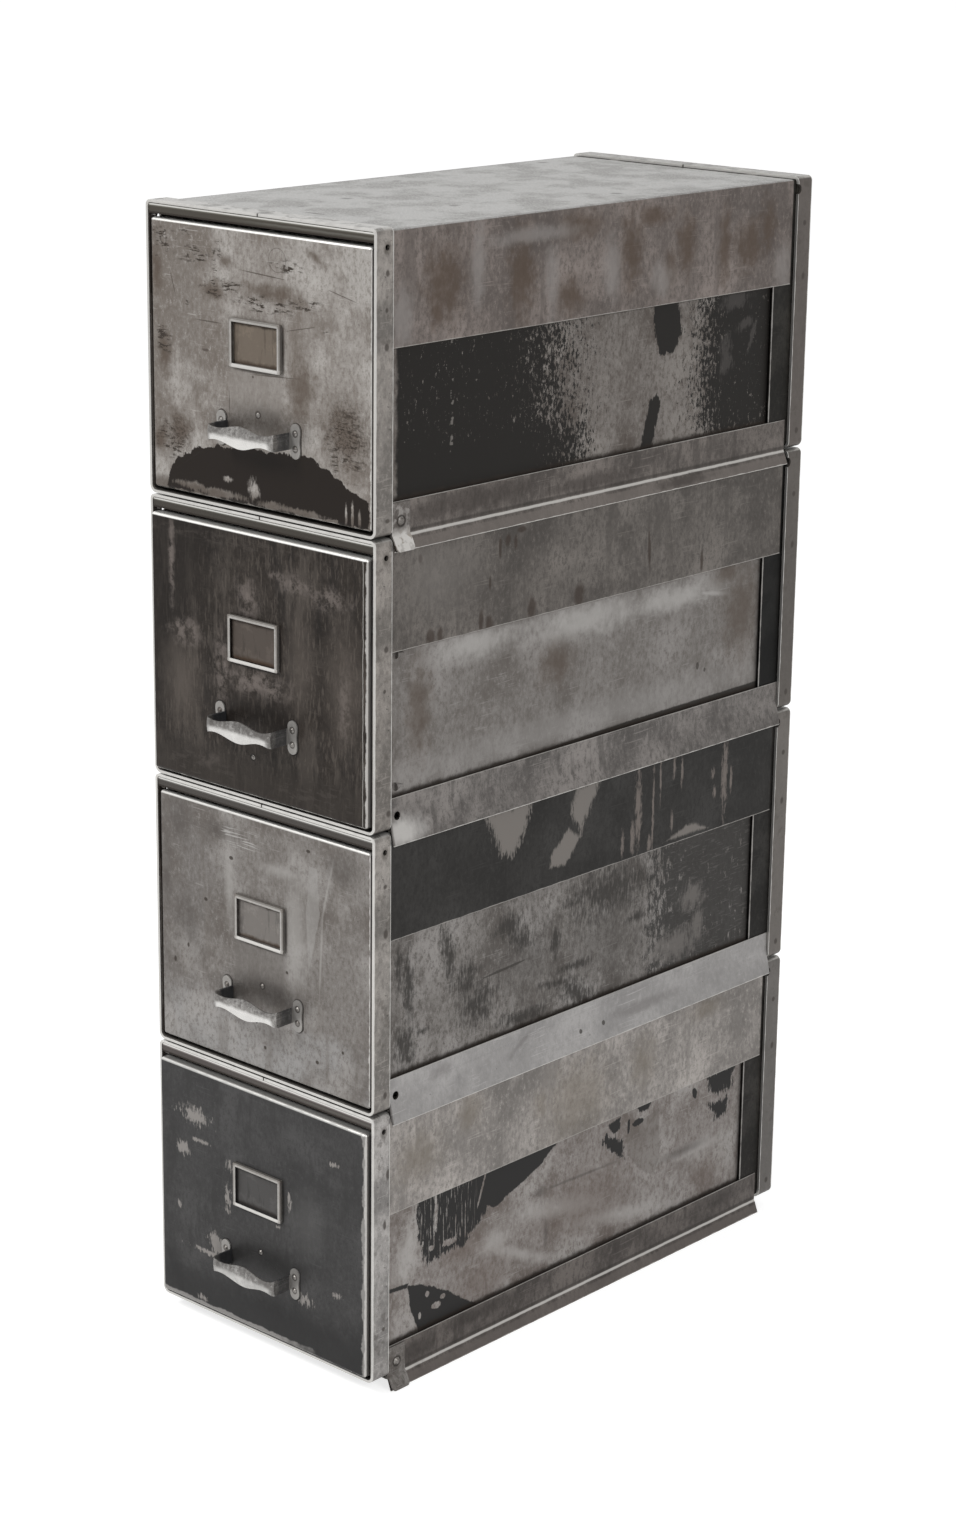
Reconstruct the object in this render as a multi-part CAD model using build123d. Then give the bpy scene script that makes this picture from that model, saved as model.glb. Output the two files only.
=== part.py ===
"""Stack of four stackable steel file drawer units.

Sizes are in millimetres. x runs across the stack, y from front to back and z up
from the floor. The origin is on the floor, under the middle of the whole stack.
Each piece of a unit is drawn with the front edge of its front band at y = 0 and
the bottom of its bands at z = 0, and is then set in its place in the stack.
Unit 1 is the highest.
"""
from build123d import *
import os

# The stack
unit_count = 4
case_width = 330.0            # over the steel bands
case_depth = 695.0            # front band to rear band
stack_gap = 1.8               # between the bands of two units
sheet = 1.0                   # gauge of covers, panels and drawers

# Steel bands round the front and the rear of each case
band_height = 305.6
band_width = 24.5
band_gauge = 3.0
band_top_radius = 6.0
band_bottom_radius = 8.5
band_seam = 0.6
band_hole_diameter = 6.0
band_hole_from_front = 15.5
band_hole_below_top = 18.6
notch_radius = 5.5
notch_below_top = 13.6

# Top cover
cover_flange_height = 115.6
cover_front_setback = 1.0
cover_rear_gap = 5.0          # between the cover and the rear band
cover_hole_diameter = 7.0     # wider than the band's hole in front of it
header_height = 10.8
header_bend_radius = 2.0      # outside of the fold between top and header
rear_tab_width = 14.0
rear_tab_offset = 100.0

# Side panels
panel_lap = 22.0              # how far a panel runs up behind the cover
recess_lap = 8.0              # how far its recess runs on behind cover and rail
recess_depth = 3.5
recess_setback = 1.5          # behind the front band
panel_end_clearance = 0.5

# Back panel
back_flange_depth = 60.0      # from the rear edge of the rear band
back_setback = 5.0            # from the rear edge of the rear band
panel_tuck = 15.0             # how far a side panel runs in under the back flange

# Bottom rails
rail_gauge = 1.2
rail_height = 34.0            # above the bottom of the bands
lip_drop = 16.0               # below the bottom of the bands
lip_flare = 6.8               # how far the lip stands out at its lower edge
crease_flare = 2.0            # how far a creased rail has stepped out at its crease
crease_height = -1.0
plain_flare_height = 12.0     # where a plain rail starts to flare
crease_radius = 2.0
plain_flare_radius = 40.0
rail_front_clearance = 0.5
rail_hole_diameter = 9.0
rail_hole_setback = 11.5      # behind the front band
creased_units = (1, 4)        # the others have plain rails with a hole

# End brackets of the creased rails
bracket_gauge = 1.5
bracket_width = 26.0
bracket_flare = 9.5
bracket_crease_flare = 3.5
bracket_corner_radius = 4.0
bracket_floor_clearance = 0.6
rivet_height = 14.0           # of the bracket rivet, or of a plain rail's hole

# Drawer tracks
track_width = 20.0
track_setback = 1.5           # behind the front band
track_end_clearance = 1.0

# Drawer fronts
drawer_side_gap = 3.5
drawer_bottom_gap = 4.0
drawer_top_gap = 3.8
front_depth = 20.0
front_edge_radius = 3.5
stand_out = {1: 0.0, 2: 6.0, 3: 0.0, 4: 6.0}    # how far each drawer stands out

# Drawer trays
tray_side_gap = 6.5           # from the inside of the drawer front's edge
tray_rim_drop = 43.0          # below the top of the drawer front
tray_rear_gap = 49.0          # before the back panel
tray_hem = 8.0

# Drawer pulls
pull_height = 83.6            # centre, above the bottom of the bands
pull_span = 108.0             # between the centres of its feet
pull_gauge = 1.6
pull_reach = 29.0
foot_width = 13.5
foot_height = 36.0
foot_waist = 0.8
foot_waist_radius = 40.0
foot_rivet_spacing = 15.7
grip_end_height = 17.5
grip_neck_height = 13.0
grip_neck_offset = 28.0
grip_belly_up = 11.0
grip_belly_down = 12.5
grip_crown_radius = 34.0
grip_corner_radius = 4.0

# Label holders
label_width = 74.0
label_height = 50.3
label_offset = -2.5
label_centre_height = 173.5
label_depth = 4.0
label_bar = 4.0
label_corner_radius = 1.5
label_edge_radius = 0.8

# Rivets
rivet_shank_diameter = 3.2
rivet_head_diameter = 5.4
rivet_head_height = 1.3
bracket_shank_diameter = 5.0
bracket_head_diameter = 9.0
bracket_head_height = 2.2
shank_clearance = 0.1
stud_rise = 19.4              # of most studs above the pull's centre
stud_fall = 33.6              # of drawer 2's stud below it
stud_offsets = {1: (-1.0, stud_rise), 2: (-5.5, -stud_fall), 3: (-0.6, stud_rise), 4: (0.0, stud_rise)}
header_stud_diameter = 2.8
header_stud_length = 6.5
header_stud_drop = 1.7        # below the header's lower edge
header_stud_setback = 4.0

# Lanced lugs on the side panels of unit 2
lug_unit = 2
lug_rise = 9.7                # of the lower lug above the rail
lug_drop = 4.0                # of the upper lug below the cover's edge
lug_setback = 12.5            # behind the front band
lug_length = 12.0
lug_radius = 4.5

# Worked out from the sizes above
unit_pitch = band_height + stack_gap
band_inner_low_radius = band_bottom_radius - band_gauge
band_inner_top_radius = band_top_radius - band_gauge
cover_half_width = case_width / 2 - band_gauge
cover_top = band_height - band_gauge
cover_flange_bottom = cover_top - cover_flange_height
header_bottom = cover_top - header_height
rear_band_front = case_depth - band_width
cover_rear = rear_band_front - cover_rear_gap
panel_face = cover_half_width - sheet
back_flange_front = case_depth - back_flange_depth
recess_face = panel_face - recess_depth
recess_front = band_width + recess_setback
rail_face = panel_face + rail_gauge
rail_front = band_width + rail_front_clearance
bracket_rivet_place = rail_front + bracket_width / 2
rail_hole_place = band_width + rail_hole_setback
front_half_width = cover_half_width - drawer_side_gap
front_bottom = band_gauge + drawer_bottom_gap
front_top = header_bottom - drawer_top_gap
track_top = front_bottom + sheet
track_foot = -stack_gap - band_gauge
tray_half_width = front_half_width - sheet - tray_side_gap
tray_rim = front_top - tray_rim_drop
tray_rear = case_depth - back_setback - sheet - tray_rear_gap
grip_end = pull_span / 2 - foot_width / 2
front_overhang = max(stand_out.values()) + pull_reach
stack_front = (front_overhang - case_depth) / 2


def lengthwise(section, y_front, y_rear):
    """Solid with a section drawn in x and z, from y_front back to y_rear."""
    placed = Plane.XZ.offset(-y_front) * section
    return extrude(placed, amount=y_front - y_rear)


def block(x_range, y_range, z_range):
    """Rectangular solid between the given limits."""
    size = [high - low for low, high in (x_range, y_range, z_range)]
    middle = [(high + low) / 2 for low, high in (x_range, y_range, z_range)]
    return Pos(*middle) * Box(*size)


def round_section(half_width, z_low, z_high, low_radius, high_radius):
    """Rectangle in x and z with rounded lower and upper corners."""
    section = Pos(0, (z_low + z_high) / 2) * Rectangle(2 * half_width, z_high - z_low)
    section = fillet(section.vertices().group_by(Axis.Y)[-1], high_radius)
    return fillet(section.vertices().group_by(Axis.Y)[0], low_radius)


def hood_section(half_width, z_low, z_high, radius):
    """Rectangle in x and z with only its upper corners rounded."""
    section = Pos(0, (z_low + z_high) / 2) * Rectangle(2 * half_width, z_high - z_low)
    return fillet(section.vertices().group_by(Axis.Y)[-1], radius)


def strip_section(points, gauge, bend_radius):
    """Section of a bent sheet: its outer face follows the points, from the top down."""
    outer_face = FilletPolyline(*points, radius=bend_radius)
    return make_face(offset(outer_face, amount=gauge, side=Side.RIGHT))


def cross_hole(diameter, y, z, x_low, x_high):
    """Round bar along x, to cut a hole through a side wall."""
    return Pos((x_low + x_high) / 2, y, z) * Rot(0, 90, 0) * Cylinder(diameter / 2, x_high - x_low)


def other_side(piece):
    """The mirrored twin of a piece, on the other side of the stack."""
    return mirror(piece, about=Plane.YZ)


def rivet(shank_diameter, head_diameter, head_height, grip):
    """Set rivet along z, with its pan head above z = 0 and its tail under the sheets it holds."""
    head_radius = head_diameter / 2
    shank_radius = shank_diameter / 2
    crown_radius = head_radius / 2
    tail_radius = (head_radius + shank_radius) / 2
    tail_height = head_height / 2
    half_section = Polyline(
        (0, head_height), (crown_radius, head_height), (head_radius, 0), (shank_radius, 0),
        (shank_radius, -grip), (tail_radius, -grip), (tail_radius, -grip - tail_height),
        (0, -grip - tail_height), close=True,
    )
    return revolve(Plane.XZ * make_face(half_section), Axis.Z)


# --- Steel bands: one strip bent round, with its ends butted at the top ---

def band():
    outer = round_section(case_width / 2, 0, band_height, band_bottom_radius, band_top_radius)
    inner = round_section(
        cover_half_width, band_gauge, cover_top, band_inner_low_radius, band_inner_top_radius,
    )
    strip = lengthwise(outer - inner, 0, band_width)
    seam = block((-band_seam / 2, band_seam / 2), (-1, band_width + 1), (cover_top - 1, band_height + 1))
    return strip - seam


def band_hole(diameter):
    """Bar through both sides of the case, where the hole in the front band is."""
    return cross_hole(
        diameter, band_hole_from_front, band_height - band_hole_below_top, -case_width, case_width,
    )


def front_band():
    return band() - band_hole(band_hole_diameter)


def rear_band():
    notch = cross_hole(2 * notch_radius, 0, band_height - notch_below_top, -case_width, case_width)
    return Pos(0, rear_band_front, 0) * (band() - notch)


# --- Top cover: bent over the top and part way down the sides ---

def header_bar(radius):
    """Round bar along x, on the axis about which the header is bent down."""
    bend_axis = Pos(0, cover_front_setback + header_bend_radius, cover_top - header_bend_radius) * Rot(0, 90, 0)
    return bend_axis * Cylinder(radius, 2 * cover_half_width)


def header_bend():
    """Rounded fold between the top and the header, and the square corner that it takes the place of."""
    half_length = cover_half_width - band_inner_top_radius
    corner = block(
        (-half_length, half_length),
        (cover_front_setback, cover_front_setback + header_bend_radius),
        (cover_top - header_bend_radius, cover_top),
    )
    return corner & (header_bar(header_bend_radius) - header_bar(header_bend_radius - sheet)), corner


def top_cover():
    outer = hood_section(cover_half_width, cover_flange_bottom, cover_top, band_inner_top_radius)
    inner = hood_section(
        panel_face, cover_flange_bottom - sheet, cover_top - sheet, band_inner_top_radius - sheet,
    )
    cover = lengthwise(outer - inner, cover_front_setback, cover_rear)
    header = lengthwise(outer, cover_front_setback, cover_front_setback + sheet)
    cover += header & block((-case_width, case_width), (0, case_depth), (header_bottom, band_height))
    bend, corner = header_bend()
    cover = cover - corner + bend
    cover -= band_hole(cover_hole_diameter)
    for side in (-1, 1):
        middle = side * rear_tab_offset
        cover += block(
            (middle - rear_tab_width / 2, middle + rear_tab_width / 2),
            (cover_rear - sheet, rear_band_front),
            (cover_top - sheet, cover_top),
        )
    return cover


# --- Side panels: flat margins round a shallow drawn recess ---

def right_side_panel():
    margin_front = cover_front_setback
    margin_rear = back_flange_front - panel_end_clearance
    margin_top = cover_flange_bottom + panel_lap
    recess_low = rail_height - recess_lap
    recess_high = cover_flange_bottom + recess_lap
    recess_rear = back_flange_front + panel_tuck / 2
    tuck_face = panel_face - sheet

    margins = block((tuck_face, panel_face), (margin_front, margin_rear), (0, margin_top))
    margins -= block(
        (tuck_face - sheet, panel_face + sheet), (0, rail_front), (-sheet, band_bottom_radius),
    )
    window = block(
        (panel_face - 2 * sheet, panel_face + sheet),
        (recess_front, margin_rear + sheet),
        (recess_low, recess_high),
    )
    tray = block(
        (recess_face - sheet, panel_face),
        (recess_front - sheet, recess_rear + sheet),
        (recess_low - sheet, recess_high + sheet),
    )
    pocket = block(
        (recess_face, panel_face + sheet), (recess_front, recess_rear), (recess_low, recess_high),
    )
    beyond = block(
        (tuck_face, panel_face + sheet),
        (margin_rear, recess_rear + 2 * sheet),
        (0, case_width),
    )
    tuck = block(
        (tuck_face - sheet, tuck_face),
        (recess_rear, back_flange_front + panel_tuck),
        (recess_low, recess_high),
    )
    return (margins - window) + (tray - pocket - beyond) + tuck


def with_lugs(panel):
    """A side panel with two half-cone lugs lanced out near its front edge."""
    outward = block((recess_face - sheet / 2, case_width), (0, case_depth), (0, band_height))
    for height in (rail_height + lug_rise, cover_flange_bottom - lug_drop):
        middle = band_width + lug_setback + lug_length / 2
        lug = Pos(recess_face, middle, height) * Rot(-90, 0, 0) * Cone(lug_radius, lug_radius / 5, lug_length)
        panel += lug & outward
    return panel


# --- Back panel: a pan that closes the rear and laps under the cover and the rails ---

def back_panel():
    low_radius = band_inner_low_radius
    high_radius = band_inner_top_radius
    back_face = case_depth - back_setback
    joggle = rear_band_front + sheet / 2

    seat_outer = round_section(cover_half_width, band_gauge, cover_top, low_radius, high_radius)
    seat_inner = round_section(
        panel_face, band_gauge + sheet, cover_top - sheet, low_radius - sheet, high_radius - sheet,
    )
    lap_outer = seat_inner
    lap_inner = round_section(
        panel_face - sheet, band_gauge + 2 * sheet, cover_top - 2 * sheet,
        low_radius - 2 * sheet, high_radius - 2 * sheet,
    )
    pan = lengthwise(seat_outer - seat_inner, joggle, back_face)
    pan += lengthwise(seat_outer, back_face - sheet, back_face)
    pan += lengthwise(seat_outer - lap_inner, joggle, joggle + sheet)
    pan += lengthwise(lap_outer - lap_inner, back_flange_front, joggle + sheet)
    return pan


# --- Bottom rails: the lip below the bands hangs over the unit below ---

def rail_strip(points, gauge, bend_radius, y_rear):
    """Bent strip along a rail, cut level at its lower edge."""
    strip = lengthwise(strip_section(points, gauge, bend_radius), rail_front, y_rear)
    return strip - block((0, case_width), (0, case_depth), (-2 * lip_drop, -lip_drop))


def bracket_rivet_hole():
    return cross_hole(
        bracket_shank_diameter + shank_clearance, bracket_rivet_place, rivet_height, 0, case_width,
    )


def rail_hole():
    return cross_hole(rail_hole_diameter, rail_hole_place, rivet_height, 0, case_width)


def right_creased_rail():
    points = [
        (rail_face, rail_height),
        (rail_face, crease_height),
        (rail_face + crease_flare, track_foot),
        (rail_face + lip_flare, -lip_drop - rail_gauge),
    ]
    return rail_strip(points, rail_gauge, crease_radius, cover_rear) - bracket_rivet_hole()


def right_plain_rail():
    points = [
        (rail_face, rail_height),
        (rail_face, plain_flare_height),
        (rail_face + lip_flare, -lip_drop - rail_gauge),
    ]
    rear = rear_band_front - rail_front_clearance
    return rail_strip(points, rail_gauge, plain_flare_radius, rear) - rail_hole()


def right_bracket():
    """Plate over the front end of a creased rail."""
    face = rail_face + bracket_gauge
    points = [
        (face, rail_height - sheet),
        (face, crease_height + bracket_gauge),
        (face + bracket_crease_flare, track_foot),
        (face + bracket_flare, -lip_drop - bracket_gauge),
    ]
    rear = rail_front + bracket_width
    low = -lip_drop + bracket_floor_clearance
    plate = rail_strip(points, bracket_gauge, crease_radius, rear)
    outline = Rectangle(bracket_width, rail_height - low)
    outline = fillet(outline.vertices().group_by(Axis.Y)[0], bracket_corner_radius)
    outline = Pos((rail_front + rear) / 2, (low + rail_height) / 2) * outline
    plate &= extrude(Plane.YZ * outline, amount=case_width)
    return plate - bracket_rivet_hole()


# --- Drawer tracks: channels that carry the drawer and stand on the unit below ---

def right_track():
    web_face = panel_face - sheet
    inner_edge = web_face - track_width
    rear = back_flange_front - track_end_clearance
    front = band_width + track_setback
    channel = block((inner_edge, web_face), (front, rear), (track_foot, track_top))
    channel -= block(
        (inner_edge - sheet, web_face - sheet),
        (front - sheet, rear + sheet),
        (track_foot + sheet, track_top - sheet),
    )
    return channel


# --- Drawer front: a pan with rounded edges, open at the back ---

def drawer_front(stud_offset):
    pan = block(
        (-front_half_width, front_half_width), (0, front_depth), (front_bottom, front_top),
    )
    long_edges = pan.edges().filter_by(Axis.Y)
    face_edges = pan.faces().sort_by(Axis.Y)[0].edges()
    pan = fillet(long_edges + face_edges, front_edge_radius)
    pan = offset(pan, amount=-sheet, openings=pan.faces().sort_by(Axis.Y)[-1])
    for x, z in front_rivet_places(stud_offset):
        pan -= Pos(x, 0, z) * rivet_hole()
    return pan


def rivet_hole():
    """Round bar along y, to cut the hole for a drawer rivet's shank."""
    return Rot(90, 0, 0) * Cylinder((rivet_shank_diameter + shank_clearance) / 2, foot_width)


def front_rivet_places(stud_offset):
    """Centres in x and z of the stud and of the four rivets of the pull."""
    places = [(stud_offset[0], pull_height + stud_offset[1])]
    for side in (-1, 1):
        for row in (-1, 1):
            places.append((side * pull_span / 2, pull_height + row * foot_rivet_spacing / 2))
    return places


# --- Drawer tray: bottom, sides and back folded up from one sheet ---

def drawer_tray():
    low = track_top
    high = tray_rim
    inside = tray_half_width - sheet
    flange_end = front_half_width - front_edge_radius
    tray = block((-tray_half_width, tray_half_width), (sheet, tray_rear), (low, high))
    tray -= block((-inside, inside), (0, tray_rear - sheet), (low + sheet, high + sheet))
    tray -= block((-case_width, case_width), (0, front_edge_radius), (low - sheet, low + front_edge_radius))
    for side in (-1, 1):
        hem = sorted((side * inside, side * (inside - sheet)))
        tray += block(hem, (sheet, tray_rear - sheet), (high - tray_hem, high))
        flange = sorted((side * inside, side * flange_end))
        tray += block(flange, (sheet, 2 * sheet), (low + front_edge_radius, high))
    tray += block((-inside, inside), (tray_rear - 2 * sheet, tray_rear - sheet), (high - tray_hem, high))
    return tray


# --- Drawer pull: stamped from sheet, with a crowned and waisted grip ---

def pull_outline():
    """Front view of the grip, level with its own centre."""
    top_edge = Spline(
        (-grip_end, grip_end_height / 2), (-grip_neck_offset, grip_neck_height / 2), (0, grip_belly_up),
        (grip_neck_offset, grip_neck_height / 2), (grip_end, grip_end_height / 2),
    )
    right_edge = Line((grip_end, grip_end_height / 2), (grip_end, -grip_end_height / 2))
    low_edge = Spline(
        (grip_end, -grip_end_height / 2), (grip_neck_offset, -grip_neck_height / 2), (0, -grip_belly_down),
        (-grip_neck_offset, -grip_neck_height / 2), (-grip_end, -grip_end_height / 2),
    )
    left_edge = Line((-grip_end, -grip_end_height / 2), (-grip_end, grip_end_height / 2))
    return make_face([top_edge, right_edge, low_edge, left_edge])


def pull_grip():
    """Crowned bar with its two legs bent back to the drawer, cut to the outline."""
    tall = foot_height / 2
    crown_axis = Pos(0, grip_crown_radius - pull_reach, 0) * Rot(0, 90, 0)
    crown = crown_axis * Cylinder(grip_crown_radius, 2 * grip_end)
    hollow = crown_axis * Cylinder(grip_crown_radius - pull_gauge, 2 * (grip_end - pull_gauge))
    blank = crown & block((-grip_end, grip_end), (-pull_reach - 1, 0), (-tall, tall))
    corners = blank.edges().filter_by(GeomType.CIRCLE)
    blank = fillet(corners, grip_corner_radius)
    core = hollow & block((-grip_end, grip_end), (-pull_reach - 1, 1), (-tall - 1, tall + 1))
    inner_corners = core.edges().filter_by(GeomType.CIRCLE)
    core = fillet(inner_corners, grip_corner_radius - pull_gauge)
    outline = lengthwise(pull_outline(), -pull_reach - 1, 1)
    return (blank - core) & outline


def pull_foot():
    foot = SlotOverall(foot_height, foot_width, rotation=90)
    waist = Pos(foot_width / 2 - foot_waist + foot_waist_radius, 0) * Circle(foot_waist_radius)
    plate = Pos(pull_span / 2, 0, 0) * lengthwise(foot - waist, -pull_gauge, 0)
    for row in (-1, 1):
        plate -= Pos(pull_span / 2, 0, row * foot_rivet_spacing / 2) * rivet_hole()
    return plate


def drawer_pull():
    pull = pull_grip() + pull_foot() + other_side(pull_foot())
    return Pos(0, 0, pull_height) * pull


# --- Label holder: an empty frame of thin angle section ---

def label_holder():
    outline = RectangleRounded(label_width, label_height, label_corner_radius)
    frame = lengthwise(outline, -label_depth, 0)
    frame = fillet(frame.faces().sort_by(Axis.Y)[0].edges(), label_edge_radius)
    cavity = Rectangle(label_width - 2 * sheet, label_height - 2 * sheet)
    frame -= lengthwise(cavity, -label_depth + sheet, 0)
    window = Rectangle(label_width - 2 * label_bar, label_height - 2 * label_bar)
    frame -= lengthwise(window, -2 * label_depth, 0)
    return Pos(label_offset, 0, label_centre_height) * frame


# --- Fasteners ---

def drawer_rivets(stud_offset):
    """The stud, then the four rivets that hold the pull."""
    rivets = []
    for index, (x, z) in enumerate(front_rivet_places(stud_offset)):
        held = sheet if index == 0 else sheet + pull_gauge
        seat = 0 if index == 0 else -pull_gauge
        one = rivet(rivet_shank_diameter, rivet_head_diameter, rivet_head_height, held)
        rivets.append(Pos(x, seat, z) * Rot(90, 0, 0) * one)
    return rivets


def bracket_rivet():
    held = bracket_gauge + rail_gauge + sheet
    one = rivet(bracket_shank_diameter, bracket_head_diameter, bracket_head_height, held)
    return Pos(rail_face + bracket_gauge, bracket_rivet_place, rivet_height) * Rot(0, 90, 0) * one


def header_stud():
    """Small stud on the left wall, in the gap between header and drawer."""
    return cross_hole(
        header_stud_diameter, cover_front_setback + header_stud_setback,
        header_bottom - header_stud_drop, -panel_face, -panel_face + header_stud_length,
    )


# --- The stack ---

def unit_place(unit):
    return Pos(0, stack_front, lip_drop + (unit_count - unit) * unit_pitch)


def case_pieces(unit):
    """The pieces of one case, by name."""
    panel = right_side_panel()
    if unit == lug_unit:
        panel = with_lugs(panel)
    if unit in creased_units:
        panel -= bracket_rivet_hole()
        rail = right_creased_rail()
    else:
        panel -= rail_hole()
        rail = right_plain_rail()
    return {
        "top_cover": [top_cover()],
        "right_side_panel": [panel],
        "left_side_panel": [other_side(panel)],
        "back_panel": [back_panel()],
        "front_band": [front_band()],
        "rear_band": [rear_band()],
        "right_rail": [rail],
        "left_rail": [other_side(rail)],
        "drawer_tracks": [right_track(), other_side(right_track())],
    }


def drawer_pieces(unit):
    """The pieces of one drawer, by name."""
    return {
        "front": [drawer_front(stud_offsets[unit])],
        "tray": [drawer_tray()],
        "pull": [drawer_pull()],
        "label_holder": [label_holder()],
        "rivets": drawer_rivets(stud_offsets[unit]),
    }


def shared_pieces():
    """The brackets and fasteners of all the cases."""
    brackets = []
    rivets = []
    for unit in range(1, unit_count + 1):
        place = unit_place(unit)
        rivets.append(place * header_stud())
        if unit in creased_units:
            for bracket, one in (
                (right_bracket(), bracket_rivet()),
                (other_side(right_bracket()), other_side(bracket_rivet())),
            ):
                brackets.append(place * bracket)
                rivets.append(place * one)
    return {"rail_end_brackets": brackets, "case_rivets": rivets}


def write_node(name, solids):
    node = solids[0] if len(solids) == 1 else Compound(children=list(solids))
    export_step(node, os.path.join("parts", name + ".step"))


def main():
    os.makedirs("parts", exist_ok=True)
    for unit in range(1, unit_count + 1):
        place = unit_place(unit)
        for name, solids in case_pieces(unit).items():
            write_node(f"unit_{unit}_{name}", [place * solid for solid in solids])
        drawer_place = place * Pos(0, -stand_out[unit], 0)
        for name, solids in drawer_pieces(unit).items():
            write_node(f"drawer_{unit}_{name}", [drawer_place * solid for solid in solids])
    for name, solids in shared_pieces().items():
        write_node(name, solids)


main()
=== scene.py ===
import bpy
import math
from mathutils import Matrix, Vector


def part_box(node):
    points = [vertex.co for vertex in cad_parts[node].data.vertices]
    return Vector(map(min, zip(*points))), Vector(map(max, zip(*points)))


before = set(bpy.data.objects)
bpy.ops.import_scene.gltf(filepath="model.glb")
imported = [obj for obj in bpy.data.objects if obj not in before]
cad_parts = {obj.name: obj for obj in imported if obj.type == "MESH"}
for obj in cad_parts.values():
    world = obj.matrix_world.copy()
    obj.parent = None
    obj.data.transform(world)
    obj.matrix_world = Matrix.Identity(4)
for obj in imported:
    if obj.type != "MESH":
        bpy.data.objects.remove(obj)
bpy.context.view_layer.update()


# Steel bands
# Each case is held square by a 3 mm strip bent round its front and another
# round its rear, both butted at the top and left bare. Handling has polished
# their edges, which also carry a painted highlight; the insides are painted near
# black as shade, and dirt with painted shade darkens the front band's rear edge.
# The sides have browned, with darker drips and spots.

class Flow:
    """What runs from node to node in a finish: a number, a colour or a place."""

    def __init__(self, finish, socket):
        self.finish = finish
        self.socket = socket

    def worked(self, operation, *terms):
        kind = "VectorMath" if self.socket.type == "VECTOR" else "Math"
        return self.finish.node(kind, {"operation": operation}, dict(enumerate(terms)))

    def __add__(self, other):
        return self.worked("ADD", self, other)

    def __radd__(self, other):
        return self.worked("ADD", other, self)

    def __sub__(self, other):
        return self.worked("SUBTRACT", self, other)

    def __rsub__(self, other):
        return self.worked("SUBTRACT", other, self)

    def __mul__(self, other):
        return self.worked("MULTIPLY", self, other)

    def __rmul__(self, other):
        return self.worked("MULTIPLY", other, self)

    def __or__(self, other):
        return self.worked("MAXIMUM", self, other)

    def __and__(self, other):
        return self.worked("MINIMUM", self, other)

    def __abs__(self):
        return self.worked("ABSOLUTE", self)

    def ramp(self, start, end):
        """0 at start and 1 at end with a smooth rise between; start may be the larger."""
        return self.finish.node("MapRange", {"interpolation_type": "SMOOTHSTEP"},
                                {"Value": self, "From Min": start, "From Max": end})


class Making:
    """The nodes that make up one surface, or the light round the stack."""

    def __init__(self, tree):
        self.tree = tree
        self.tree.nodes.clear()

    def node(self, kind, settings=None, inputs=None, out=0):
        made = self.tree.nodes.new("ShaderNode" + kind)
        for name, value in (settings or {}).items():
            setattr(made, name, value)
        for key, value in (inputs or {}).items():
            socket = made.inputs[key]
            if isinstance(value, Flow):
                self.tree.links.new(value.socket, socket)
            elif socket.type == "RGBA":
                socket.default_value = (*value, 1.0)
            elif socket.type == "VECTOR" and not isinstance(value, (tuple, list)):
                socket.default_value = (value,) * 3
            else:
                socket.default_value = value
        return Flow(self, made.outputs[out]) if made.outputs else None

    def seen(self):
        """1 where the eye, a reflection or a view through meets it, and 0 where lamplight does."""
        rays = ("Camera", "Glossy", "Transmission")
        camera, glossy, through = (self.node("LightPath", out=f"Is {ray} Ray") for ray in rays)
        return camera | glossy | through


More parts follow.
